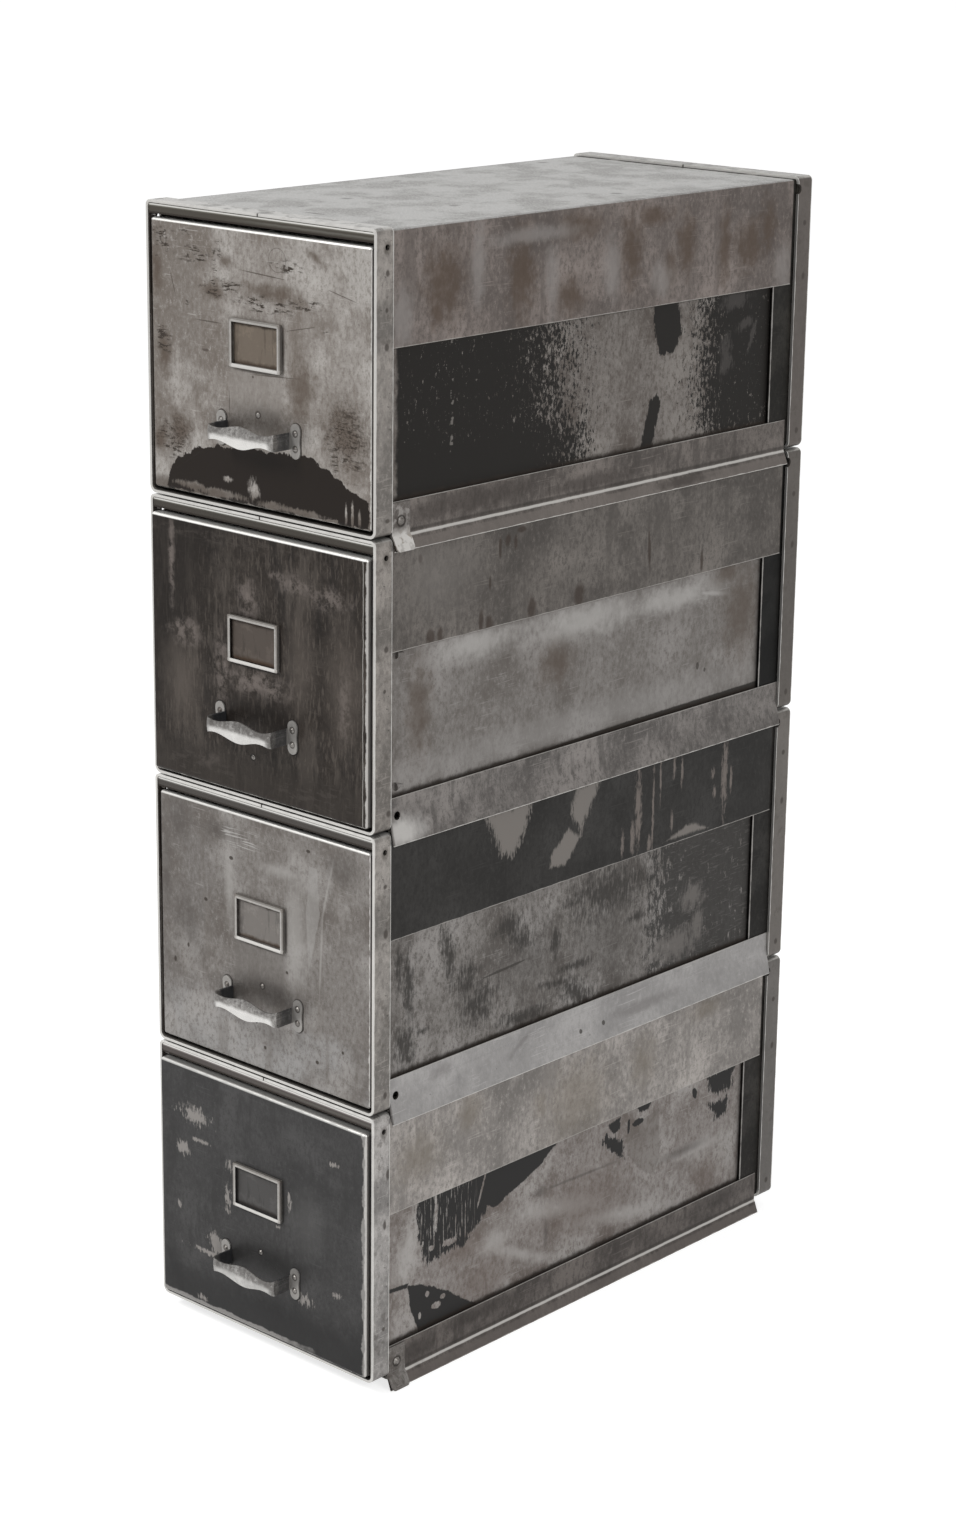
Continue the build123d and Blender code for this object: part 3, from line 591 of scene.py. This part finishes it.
back_tones = {
    1: (0.011, 0.01, 0.0085),
    2: (0.003, 0.0028, 0.0025),
    3: (0.012, 0.011, 0.01),
    4: (0.014, 0.0125, 0.011),
}
for unit, tone in back_tones.items():
    back = Finish(f"back_paint_{unit}", tone, 0.5, 0.0, unit_corner[unit])
    back.age(shade(tone, 0.6), shade(tone, 2.6), 0.9)
    knocks = back.grain(0.05, 6, 0.8, stretch=(1, 1, 2.5), shift=8.0).ramp(0.58, 0.68)
    flat_of_back = back.y.ramp(back_face - 6, back_face - 2)
    back.lay((0.09, 0.084, 0.078), knocks * flat_of_back * 0.6, rough=0.4, metal=0.5)
    # The flange's edge is rubbed bright, with a painted highlight.
    back.worn_edge_highlight(abs(back.y - (back_flange + 1.6)), (0.3, 0.285, 0.27), 1.2, 0.85)
    dress(f"unit_{unit}_back_panel", back.made(), 0.35)


# Bottom rails
# A strip on each side stiffens the foot of the case, and its flared lip hangs
# over the cover of the unit below. Units 1 and 4 have theirs creased, with a
# plate riveted over the front end; the plain ones have an empty hole there. On
# the creased ones painted shade fills the hollow above the fold, a painted
# highlight runs along it and the lip below is painted paler as lit from above.

creased_units, crease_level = (1, 4), -1.6
rail_tones = {
    1: (0.118, 0.104, 0.095),
    2: (0.150, 0.138, 0.130),
    3: (0.275, 0.266, 0.26),
    4: (0.098, 0.086, 0.079),
}
for unit, tone in rail_tones.items():
    rail = Finish(f"rail_steel_{unit}", tone, 0.38, 0.5, unit_corner[unit])
    if unit == 3:
        rail.age(shade(tone, 0.7), shade(tone, 1.5), 0.45, 0.5)
    else:
        rail.age(shade(tone, 0.5), shade(tone, 1.5), 0.9, 0.5)
        rail.run_down(shade(tone, 0.55), 0.06, 0.54, 0.6, 5.0 * unit)
    face = rail.side_view
    if unit in creased_units:
        # Painted light on the crease: shade in the hollow above, a highlight along the fold, and a
        # paler lip below.
        crease = abs(rail.z - crease_level + rail.ragged * 0.4)
        hollow = abs(rail.z - (crease_level + 4.0))
        rail.lay((0.03, 0.026, 0.023), hollow.ramp(3.0, 0.5) * 0.6)
        rail.lay((0.5, 0.485, 0.46), crease.ramp(1.9, 0.7) * 0.8, rough=0.3, metal=0.9)
        rail.lay(shade(tone, 1.25), rail.z.ramp(-5, -7) * 0.7)
    if unit == 1:
        browned = rail.spots(face, [(140, 20, 96, 12), (330, 12, 60, 8), (480, -9, 40, 5)],
                             tatter=0.9, soft=0.6)
        rail.lay((0.045, 0.038, 0.034), browned * 0.7)
    if unit == 2:
        polished = rail.spots(face, [(40, -4, 30, 13)], soft=0.7)
        rail.lay((0.5, 0.485, 0.465), polished * 0.8, rough=0.3)
    if unit == 3:
        dots = rail.spots(face, [(331, 3.5, 2.6, 2.6), (370, 3.5, 2.8, 2.8)], tatter=0.2)
        rail.lay((0.04, 0.035, 0.03), dots * 0.8)
        dulled = rail.spots(face, [(105, 22, 14, 8), (235, 18, 20, 3, 30), (440, 6, 50, 6)],
                            tatter=0.9, soft=0.7)
        rail.lay((0.16, 0.15, 0.145), dulled * 0.6)
    if unit == 4:
        browned = rail.spots(face, [(60, 18, 50, 14), (160, 24, 50, 8), (600, 22, 20, 9)],
                             tatter=0.9, soft=0.7)
        rail.lay((0.035, 0.03, 0.027), browned * 0.7)
    # Dirt and painted shade behind the band; the top and the foot are rubbed bright with a painted
    # highlight.
    rail.corner_dirt_and_shade(rail.y - (band_width + 1.0), dark_brown, 3.0, 0.7)
    rail.worn_edge_highlight(rail_top - rail.z, (0.36, 0.345, 0.325), 0.9, 0.75)
    rail.worn_edge_highlight(rail.z - rail_foot, (0.5, 0.485, 0.46), 1.1, 0.85)
    steel = rail.made()
    for side in ("right", "left"):
        dress(f"unit_{unit}_{side}_rail", steel, 0.35)

rivet_depth, rivet_levels = -292.0, (952.2, 30.0)
bracket = Finish("bracket_steel", (0.12, 0.108, 0.1), 0.38, 0.6)
bracket.age((0.06, 0.052, 0.046), (0.25, 0.238, 0.225), 0.8)
upper_bracket = bracket.z.ramp(600, 700)
tongue = upper_bracket * (bracket.z + bracket.ragged * 6).ramp(947, 936)
bracket.lay((0.55, 0.535, 0.51), tongue * 0.9, rough=0.28, metal=0.9)
rusted = bracket.grain(0.12, 4, 0.6, shift=6.0).ramp(0.54, 0.62)
bracket.lay((0.2, 0.17, 0.14), tongue * rusted * 0.7)
rubbed = bracket.grain(0.1, 4, 0.6, shift=16.0).ramp(0.5, 0.6)
bracket.lay((0.3, 0.285, 0.27), upper_bracket * rubbed * 0.6)
rings = [(rivet_depth, level, 6.4, 6.4) for level in rivet_levels]
ringed = bracket.spots(bracket.side_view, rings, tatter=0.1, soft=0.15)
bracket.lay((0.03, 0.026, 0.023), ringed * 0.9)
dress("rail_end_brackets", bracket.made(), 0.5)


# Drawer tracks
# Two plain folded channels inside each case, on which the tray slides. Their
# feet stand on the cover of the unit below. Never painted, only dulled.

inner = Finish("inner_steel", (0.16, 0.15, 0.138), 0.5, 0.4)
inner.age((0.09, 0.078, 0.066), (0.24, 0.23, 0.215), 0.9)
inner_steel = inner.made()
for unit in units:
    dress(f"unit_{unit}_drawer_tracks", inner_steel, 0.0)


# Drawer fronts
# Shallow pressed pans with returned edges. The first is bare brushed steel with
# black paint left in an arch along its foot, and painted sheen makes it darker to
# the left and paler to the upper right; the second and fourth keep their charcoal
# paint, rubbed at the edges; the third is cloudy grey steel.

front_low = span(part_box("drawer_1_front"))[0].z
front_half, _, front_high = span(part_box("drawer_1_front"))[1]
pull_low, pull_high = span(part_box("drawer_1_pull"))
foot_width, foot_height = 13.5, 36.0
pull_level = (pull_low.z + pull_high.z) / 2
foot_middle = pull_high.x - foot_width / 2
label_low, label_high = span(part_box("drawer_1_label_holder"))
label_middle = (label_low.x + label_high.x) / 2
label_level = (label_low.z + label_high.z) / 2
window_half, window_rise = 33.0, 21.0
# Strength of the painted highlight along each front's top edge.
top_gleam = {1: 0.8, 2: 0.85, 3: 0.6, 4: 0.5}
stud_at = {1: (-1.0, 19.4), 2: (-5.5, -33.6), 3: (-0.6, 19.4), 4: (0.0, 19.4)}


def label_space(front, tone, rim):
    """The patch inside the label holder, kept from wear, with rust along its edges and painted
    shade under its top bar.
    """
    inside = abs(front.x - label_middle).ramp(window_half + 0.4, window_half - 0.4)
    inside = inside * abs(front.z - label_level).ramp(window_rise + 0.6, window_rise - 0.2)
    front.lay(tone, inside * 0.95)
    faded = front.grain(0.05, 5, 0.7, shift=51.0).ramp(0.5, 0.62)
    front.lay(shade(tone, 1.4), inside * faded * 0.6)
    drawn = front.grain(0.12, 4, 0.6, stretch=(1, 1, 6), shift=57.0).ramp(0.54, 0.64)
    front.lay(shade(tone, 0.6), inside * drawn * 0.6)
    to_rim = (label_middle + window_half - front.x) & (front.z - label_level + window_rise)
    front.lay(rim, inside * (to_rim + front.ragged * 4).ramp(5, 1) * 0.75)
    # Painted shade cast by the holder's top bar.
    to_top = label_level + window_rise - front.z
    front.lay(shade(rim, 0.45), inside * (to_top + front.ragged * 3).ramp(4, 1) * 0.8)


def dress_front(unit, front, dirt, edge, width):
    """Adds dirt and painted shadow round the fittings, painted shade beside the label holder and on
    the returned sides, the rubbed edges with a painted highlight and a painted highlight along the
    top, and puts the finish on its drawer.
    """
    across = abs(abs(front.x) - foot_middle)
    along = abs(front.z - pull_level) - (foot_height - foot_width) / 2
    foot = front.length(front.node("CombineXYZ", {}, {0: across, 1: along | 0.0}))
    round_foot = foot - foot_width / 2
    # Dirt and a painted contact shadow in a ring round each foot of the pull.
    front.lay(dirt, (round_foot + front.ragged * 0.8).ramp(1.6, 0.6) * 0.9)
    face = front.front_view
    # Dirt and painted shadow behind and above the pull.
    pull_shadow_and_dirt = front.spots(face, [(4, 96, 44, 15), (-30, 88, 30, 18)], tatter=0.4, soft=0.8)
    front.lay(dirt, pull_shadow_and_dirt * 0.5)
    stud_x, stud_rise = stud_at[unit]
    round_stud = front.spots(
        face, [(stud_x, pull_level + stud_rise, 4.0, 4.0)], tatter=0.15, soft=0.3)
    front.lay(dirt, round_stud * 0.85)
    # Painted shadow of the label holder's frame, below and to its right.
    holder_shadow = front.spots(face, [
        (label_middle, label_level - 26.4, 37, 2.2),
        (label_middle + 38.4, label_level - 2, 1.8, 25)], tatter=0.2, soft=0.5)
    front.lay(dirt, holder_shadow * 0.65)
    face_depth = span(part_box(f"drawer_{unit}_front"), unit)[0].y
    # Painted shade: the returned sides, seen only in the gap to the band, are laid near black.
    returned = front.y.ramp(face_depth + 3, face_depth + 7)
    front.lay(painted_shade_black, returned * 0.85)
    inward = (front_half - abs(front.x)) & (front.z - front_low) & (front_high - front.z)
    # Rubbed edges with a painted highlight, then a painted highlight along the rounded top edge.
    front.worn_edge_highlight(inward, edge, width)
    front.lay((0.86, 0.85, 0.82), (front.z - front_high + 3.2).ramp(0, 1.2) * top_gleam[unit])
    dress(f"drawer_{unit}_front", front.made(), 0.0)


def strokes(front, clusters, shift):
    """Short level scratches full of dirt, within some spots."""
    dash = front.grain(0.3, 5, 0.7, stretch=(5, 5, 1.0), shift=shift).ramp(0.505, 0.545)
    dash = dash * front.grain(0.08, 3, 0.6, shift=shift + 6.0).ramp(0.42, 0.52)
    return dash * front.spots(front.front_view, clusters, tatter=0.7, soft=0.35)


front = Finish("drawer_front_1", (0.25, 0.231, 0.213), 0.38, 0.45, unit_corner[1])
face = front.front_view
# Painted sheen: darker toward the left, paler toward the upper right.
front.lay((0.165, 0.147, 0.132), (front.x + front.ragged * 50).ramp(-20, -100) * 0.9)
paler = (front.x + front.ragged * 60).ramp(10, 90) * front.z.ramp(150, 240)
front.lay((0.345, 0.328, 0.308), paler * 0.8)
front.age((0.12, 0.1, 0.085), (0.4, 0.382, 0.36), 0.75, 0.8)
front.run_down((0.16, 0.138, 0.12), 0.04, 0.54, 0.35, 13.0)
stains = front.spots(face, [
    (-62, 222, 17, 9), (-47, 253, 10, 6), (82, 269, 13, 4, -28), (122, 100, 24, 30, 20),
    (-116, 72, 14, 18), (-148, 60, 9, 14), (-140, 150, 8, 20), (20, 228, 36, 8),
    (60, 140, 18, 26), (-150, 232, 7, 26)],
    tatter=0.9, fray=0.3, soft=0.9)
front.lay((0.078, 0.058, 0.044), stains * 0.8)
below_label = [(-43, 102), (33, 102), (33, 148), (-43, 148)]
front.lay((0.2, 0.182, 0.166), front.patch(face, below_label, 1, 0, 3) * 0.5)
peppered = front.spots(face, [(126, 100, 24, 30), (-118, 66, 16, 18)], tatter=0.8, soft=0.8)
pepper = front.grain(0.32, 5, 0.8, shift=33.0).ramp(0.5, 0.54)
dashes = strokes(front, [
    (-139, 272, 19, 6), (-105, 277, 9, 2.5), (-55, 272, 8, 2.5), (-153, 250, 5, 2),
    (-52, 231, 26, 3), (66, 223, 24, 7), (-10, 229, 5, 2), (-105, 206, 5, 2.4),
    (94, 200, 6, 2.6), (105, 277, 4, 2), (40, 257, 22, 6), (-58, 226, 26, 9),
    (-140, 262, 12, 8), (-95, 255, 24, 8), (-60, 250, 8, 14), (-130, 60, 22, 18),
    (125, 90, 26, 30), (-140, 165, 12, 14), (10, 215, 40, 8)], 31.0)
front.lay((0.04, 0.032, 0.026), dashes | pepper * peppered * 0.8)
ring = abs(front.length(face - (28.0, 262.0, 0.0)) - 12)
hairs = front.spots(face, [
    (6, 245.5, 30, 0.7, -3), (-71, 190, 17, 0.7), (-126, 225, 14, 0.6, 108),
    (-43, 112, 0.6, 13), (22, 145, 33, 0.5, 3), (60, 197, 22, 0.5, 12),
    (-8, 141, 1.6, 1.4), (-78, 160, 5, 1.4), (120, 236, 20, 0.5, -12)],
    tatter=0.5, fray=0.3, soft=0.3)
front.lay((0.075, 0.062, 0.053), (hairs | ring.ramp(0.8, 0.2) * 0.6) * 0.85)
arch = front.patch(face, [
    (-138, 6), (-20, 8), (152, 4), (152, 26), (136, 40), (99, 62), (65, 71), (-1, 67),
    (-68, 62), (-89, 58), (-122, 41), (-138, 24)], 7, 1.2, 0.5)
arch = arch | front.patch(
    face, [(112, 9), (156, 9), (156, 41), (134, 44), (112, 52)], 4, 1.2, 0.5)
islands = front.spots(face, [
    (-8, 25, 7, 9), (-47, 31, 6, 3), (-60, 14, 34, 4), (124, 18, 2, 10), (133, 20, 1.6, 14),
    (143, 18, 2, 8), (60, 12, 30, 3), (20, 12, 20, 4), (-100, 16, 20, 4)],
    tatter=0.9, fray=0.9, soft=0.4)
front.lay((0.075, 0.06, 0.049), (front.z + front.ragged * 5).ramp(24, 14) * 0.75)
front.lay((0.012, 0.0085, 0.0065), arch * (1 - islands), metal=0.0)
label_space(front, (0.13, 0.106, 0.084), (0.05, 0.034, 0.024))
dress_front(1, front, (0.03, 0.024, 0.02), (0.6, 0.585, 0.56), 1.7)

front = Finish("drawer_front_2", (0.024, 0.019, 0.0155), 0.4, 0.15, unit_corner[2])
face = front.front_view
front.age((0.012, 0.0095, 0.008), (0.05, 0.042, 0.036), 0.8, 0.3)
front.run_down((0.07, 0.06, 0.052), 0.06, 0.53, 0.5, 21.0)
front.run_down((0.012, 0.01, 0.009), 0.08, 0.54, 0.6, 27.0)
front.run_down((0.085, 0.072, 0.062), 0.3, 0.53, 0.5, 5.0)
slanting = front.x - front.z * 0.5 + front.ragged * 30
front.lay((0.012, 0.0095, 0.008), slanting.ramp(-150, -230) * 0.7)
rubbed = front.spots(face, [
    (-104, 166, 20, 12), (-12, 219, 14, 15), (60, 245, 22, 9), (106, 237, 22, 10),
    (-52, 137, 10, 32), (-2, 131, 44, 12), (-127, 243, 4, 32), (-73, 33, 14, 8),
    (30, 250, 10, 4), (128, 130, 8, 30)],
    tatter=0.9, fray=0.5, soft=0.8)
rubbed = rubbed * front.grain(0.09, 6, 0.7, shift=14.0).ramp(0.38, 0.58)
front.lay((0.15, 0.128, 0.116), rubbed * 0.8, rough=0.36, metal=0.5)
browned = front.spots(face, [(64, 170, 17, 54), (-110, 110, 26, 40), (128, 150, 22, 60)], soft=0.9)
front.lay((0.095, 0.08, 0.069), browned * 0.5)
front.lay((0.026, 0.0215, 0.018), front.z.ramp(62, 30) * 0.7)
dashes = strokes(front, [(-90, 25, 60, 14), (90, 28, 60, 14), (0, 275, 140, 6)], 61.0)
front.lay((0.06, 0.051, 0.045), dashes * 0.4)
label_space(front, (0.075, 0.062, 0.053), (0.06, 0.037, 0.023))
edge_line = abs(front.x - (front_half - 4.5) + front.ragged).ramp(0.7, 0.3)
front.lay((0.34, 0.33, 0.31), edge_line * 0.7, rough=0.3)
dress_front(2, front, (0.014, 0.012, 0.011), (0.45, 0.435, 0.415), 1.8)

front = Finish("drawer_front_3", (0.178, 0.165, 0.154), 0.42, 0.4, unit_corner[3])
face = front.front_view
front.lay((0.15, 0.139, 0.131), (front.x + front.ragged * 40).ramp(-30, -110) * 0.9)
front.lay((0.262, 0.256, 0.25), (front.z + front.ragged * 20).ramp(85, 45) * 0.9)
front.age((0.1, 0.086, 0.076), (0.29, 0.276, 0.262), 0.8, 0.6)
front.run_down((0.13, 0.115, 0.103), 0.04, 0.54, 0.4, 33.0)
clouds = front.spots(face, [
    (-126, 261, 16, 20), (-150, 200, 8, 40), (-118, 150, 16, 26), (-60, 262, 26, 10),
    (120, 262, 20, 14)],
    tatter=0.9, soft=0.9)
front.lay((0.075, 0.066, 0.06), clouds * 0.6)
swoosh = front.patch(
    face, [(86, 202), (99, 254), (70, 254), (66, 200), (70, 122), (92, 122)], 2, 1, 1)
front.lay((0.28, 0.27, 0.258), swoosh * 0.5, rough=0.36)
sweeps = front.spots(face, [
    (96, 228, 1.6, 27, -14), (88, 162, 1.4, 40, -3), (50, 175, 15, 62), (-50, 210, 6, 40),
    (30, 238, 26, 6)], tatter=0.6, fray=0.5, soft=0.8)
front.lay((0.31, 0.298, 0.283), sweeps * 0.6, rough=0.36)
front.lay((0.13, 0.119, 0.11), front.patch(face, below_label, 1, 0, 3) * 0.55)
specks = front.spots(face, [
    (69, 270, 3, 1.8), (-116, 121, 2, 3), (-137, 100, 2, 3), (82, 39, 2.4, 2), (3, 34, 2, 2),
    (-87, 180, 2.6, 2), (-47, 236, 3, 2), (37, 128, 2, 2), (120, 60, 2, 2), (-10, 60, 1.6, 1.6)],
    tatter=0.5, soft=0.3)
front.lay((0.045, 0.037, 0.031), specks * 0.9, rough=0.6)
scores = front.grain(0.5, 3, 0.5, stretch=(16, 16, 0.8), shift=61.0).ramp(0.56, 0.6)
scored = scores * front.spots(face, [(-34, 260, 32, 12)], soft=0.5)
front.lay((0.36, 0.35, 0.335), scored * 0.75, rough=0.3)
label_space(front, (0.16, 0.147, 0.136), (0.06, 0.038, 0.024))
dress_front(3, front, (0.035, 0.03, 0.027), (0.56, 0.545, 0.525), 1.6)

front = Finish("drawer_front_4", (0.047, 0.0458, 0.0455), 0.4, 0.15, unit_corner[4])
face = front.front_view
front.age((0.033, 0.032, 0.0318), (0.07, 0.068, 0.0675), 0.75, 0.4)
front.run_down((0.035, 0.034, 0.0335), 0.05, 0.54, 0.5, 43.0)
hazed = front.spots(face, [(72, 160, 22, 34)], soft=0.9)
front.lay((0.1, 0.098, 0.096), hazed * 0.4)
front.lay((0.022, 0.0215, 0.0215), (front.z + front.ragged * 16).ramp(75, 35) * 0.8)
chips = front.spots(face, [
    (-104, 234, 17, 8, -8), (-94, 206, 9, 2), (-121, 190, 7, 6), (-48, 191, 4, 5),
    (45, 180, 2.2, 8), (-52, 150, 4, 11), (27, 142, 3, 2), (-71, 92, 8, 12, 30),
    (-85, 76, 20, 2.6), (69, 69, 8, 6), (116, 90, 5, 3), (-92, 17, 7, 3), (112, 240, 5, 2),
    (-130, 120, 2, 4)], tatter=0.9, fray=2.2, soft=0.4)
front.lay((0.24, 0.224, 0.21), chips * 0.9, rough=0.38, metal=0.5)
foot = (front.z + front.ragged * 3).ramp(14.5, 12.5) * (front.x + front.ragged * 40).ramp(90, 20)
front.lay((0.33, 0.317, 0.303), foot * 0.65, rough=0.34, metal=0.7)
worn_side = (front.x + front.ragged * 5).ramp(front_half - 5, front_half - 2.5)
front.lay((0.3, 0.29, 0.277), worn_side * 0.7, rough=0.34, metal=0.7)
label_space(front, (0.068, 0.065, 0.063), (0.035, 0.03, 0.027))
dress_front(4, front, (0.018, 0.017, 0.016), (0.45, 0.435, 0.415), 1.8)


# Drawer trays
# Bottom and sides folded from one sheet, with a back, spot-welded inside the
# drawer front. Same dulled steel as the tracks.

for unit in units:
    dress(f"drawer_{unit}_tray", inner_steel, 0.0)


# Drawer pulls and label holders
# Both are stamped from sheet steel. The pull is a crowned bar whose ends are
# bent back into two riveted feet; use has polished its belly, which is painted
# paler still as a highlight, while black dirt stays in the corners and the inner
# sides of its legs are painted dark as shade. The label holder is an empty open
# frame, its outer sides painted darker as shade.

rivet_spacing = 15.7
frame_half, frame_rise = 34.9, 23.1
belly_polish_and_highlight = {1: 0.75, 2: 0.65, 3: 0.75, 4: 0.4}
pull_tones = {
    1: (0.2, 0.192, 0.183),
    2: (0.15, 0.143, 0.136),
    3: (0.2, 0.192, 0.183),
    4: (0.17, 0.164, 0.157),
}
for unit, tone in pull_tones.items():
    crown = span(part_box(f"drawer_{unit}_pull"), unit)[0].y
    pull = Finish(f"pull_steel_{unit}", tone, 0.32, 0.7, unit_corner[unit])
    pull.age((0.11, 0.102, 0.095), (0.42, 0.41, 0.395), 0.9, 0.9)
    specks = pull.grain(0.25, 5, 0.75, shift=3.0).ramp(0.5, 0.6)
    upper_half = pull.z.ramp(pull_level, pull_level + 5)
    pull.lay((0.09, 0.084, 0.08), specks * upper_half * 0.7, rough=0.5, rise=-0.04)
    # Polish and a painted highlight on the lower half of the grip.
    belly = (pull.z + pull.ragged * 2).ramp(pull_level + 1.5, pull_level - 3)
    belly = belly * abs(pull.x).ramp(46, 40)
    pull.lay((0.66, 0.65, 0.63), belly * belly_polish_and_highlight[unit], rough=0.22, metal=0.9)
    # Painted shade on the inner sides of the legs.
    shaded_leg = pull.y.ramp(crown + 6, crown + 13) * abs(pull.x).ramp(48.5, 46.5)
    pull.lay((0.04, 0.042, 0.047), shaded_leg * 0.85, rough=0.4)
    foot = pull.y.ramp(crown + 25, crown + 27) * abs(pull.x).ramp(46.5, 47.5)
    pull.lay((0.3, 0.288, 0.272), foot * 0.75, rough=0.4, metal=0.5)
    across = abs(pull.x) - foot_middle
    along = abs(pull.z - pull_level) - rivet_spacing / 2
    to_rivet = pull.length(pull.node("CombineXYZ", {}, {0: across, 1: along}))
    pull.lay((0.05, 0.043, 0.038), foot * to_rivet.ramp(4.4, 3.2) * 0.85)
    dress(f"drawer_{unit}_pull", pull.made(), 0.4)

    holder = Finish(f"label_steel_{unit}", (0.36, 0.35, 0.333), 0.34, 0.6, unit_corner[unit])
    holder.age((0.26, 0.24, 0.222), (0.48, 0.465, 0.444), 0.5, 0.4)
    aside, apart = abs(holder.x - label_middle), abs(holder.z - label_level)
    # Painted shade on the frame's outer sides.
    shaded_outer_sides = aside.ramp(frame_half, frame_half + 0.8) | apart.ramp(frame_rise, frame_rise + 0.8)
    holder.lay((0.1, 0.088, 0.077), shaded_outer_sides * 0.6)
    below = (holder.z + holder.ragged * 2).ramp(label_level - 20, label_level - 22)
    holder.lay((0.62, 0.605, 0.58), below * 0.7, rough=0.3, metal=0.8)
    corners = aside.ramp(32, 35) * apart.ramp(20, 22.5)
    holder.lay((0.13, 0.112, 0.096), corners * 0.5)
    dress(f"drawer_{unit}_label_holder", holder.made(), 0.4)


# Rivets
# Steel rivets with low domed heads hold the pulls and brackets; each drawer has
# one more as a stud. The heads have worn bright on top and kept dirt round them.

rivet = Finish("rivet_steel", (0.2, 0.188, 0.176), 0.32, 0.75)
rivet.age((0.08, 0.07, 0.062), (0.42, 0.405, 0.385), 0.9)
rivet_steel = rivet.made()
for name in [f"drawer_{unit}_rivets" for unit in units] + ["case_rivets"]:
    dress(name, rivet_steel, 1.0).modifiers["rolled edge"].segments = 4


# Floor, light and camera
# A plain white studio floor with the stack's own shadow, a broad soft lamp high
# in front and a weaker one at the right, and a long lens a little above the top.

floor_half = 30.0
floor_corners = [(-1, -1), (1, -1), (1, 1), (-1, 1)]
floor_mesh = bpy.data.meshes.new("studio_floor")
floor_mesh.from_pydata(
    [(x * floor_half, y * floor_half, 0.0) for x, y in floor_corners], [], [(0, 1, 2, 3)])
floor = bpy.data.objects.new("studio_floor", floor_mesh)
bpy.context.scene.collection.objects.link(floor)
white, floor_grey = (1.0, 1.0, 1.0), (0.9, 0.9, 0.9)
glow_share, glow_strength = 0.38, 1.95
floor_paint = bpy.data.materials.new("studio_floor")
floor_paint.use_nodes = True
ground = Making(floor_paint.node_tree)
matt = ground.node("BsdfDiffuse", {}, {"Color": floor_grey})
glow = ground.node("Emission", {}, {"Color": white, "Strength": glow_strength})
mixed = ground.node("MixShader", {}, {0: ground.seen() * glow_share, 1: matt, 2: glow})
ground.node("OutputMaterial", {}, {"Surface": mixed})
floor_mesh.materials.append(floor_paint)

world = bpy.data.worlds.new("studio")
bpy.context.scene.world = world
world.use_nodes = True
light_level, shown_level = 0.5, 1.0
sky = Making(world.node_tree)
level = sky.seen() * (shown_level - light_level) + light_level
backdrop = sky.node("Background", {}, {"Color": white, "Strength": level})
sky.node("OutputWorld", {}, {"Surface": backdrop})


def lamp(name, place, aim, size, watts):
    """A square soft box at one place, facing another."""
    light = bpy.data.lights.new(name, "AREA")
    light.size = size
    light.energy = watts
    holder = bpy.data.objects.new(name, light)
    bpy.context.scene.collection.objects.link(holder)
    holder.location = place
    holder.rotation_euler = (Vector(aim) - Vector(place)).to_track_quat("-Z", "Y").to_euler()


middle = (0.0, 0.0, 0.6)
lamp("key", place=(-1.2, -3.0, 3.6), aim=middle, size=1.4, watts=118)
lamp("fill", place=(3.4, -0.6, 2.2), aim=middle, size=1.6, watts=44)

camera_place = Vector((2.3542, -2.5840, 1.6474))
turn, rise, roll = (math.radians(degrees) for degrees in (42.269, 16.567, 0.7213))
back = Vector((math.sin(turn) * math.cos(rise), -math.cos(turn) * math.cos(rise), math.sin(rise)))
level_right = Vector((0, 0, 1)).cross(back).normalized()
level_up = back.cross(level_right)
right = level_right * math.cos(roll) + level_up * math.sin(roll)
up = level_up * math.cos(roll) - level_right * math.sin(roll)
lens = bpy.data.cameras.new("camera")
lens.lens = 77.04
lens.sensor_width = 36.0
lens.sensor_fit = "AUTO"
lens.clip_end = 100.0
camera = bpy.data.objects.new("camera", lens)
bpy.context.scene.collection.objects.link(camera)
stand = Matrix((right, up, back)).transposed().to_4x4()
stand.translation = camera_place
camera.matrix_world = stand
bpy.context.scene.camera = camera
bpy.context.scene.view_settings.view_transform = "Standard"
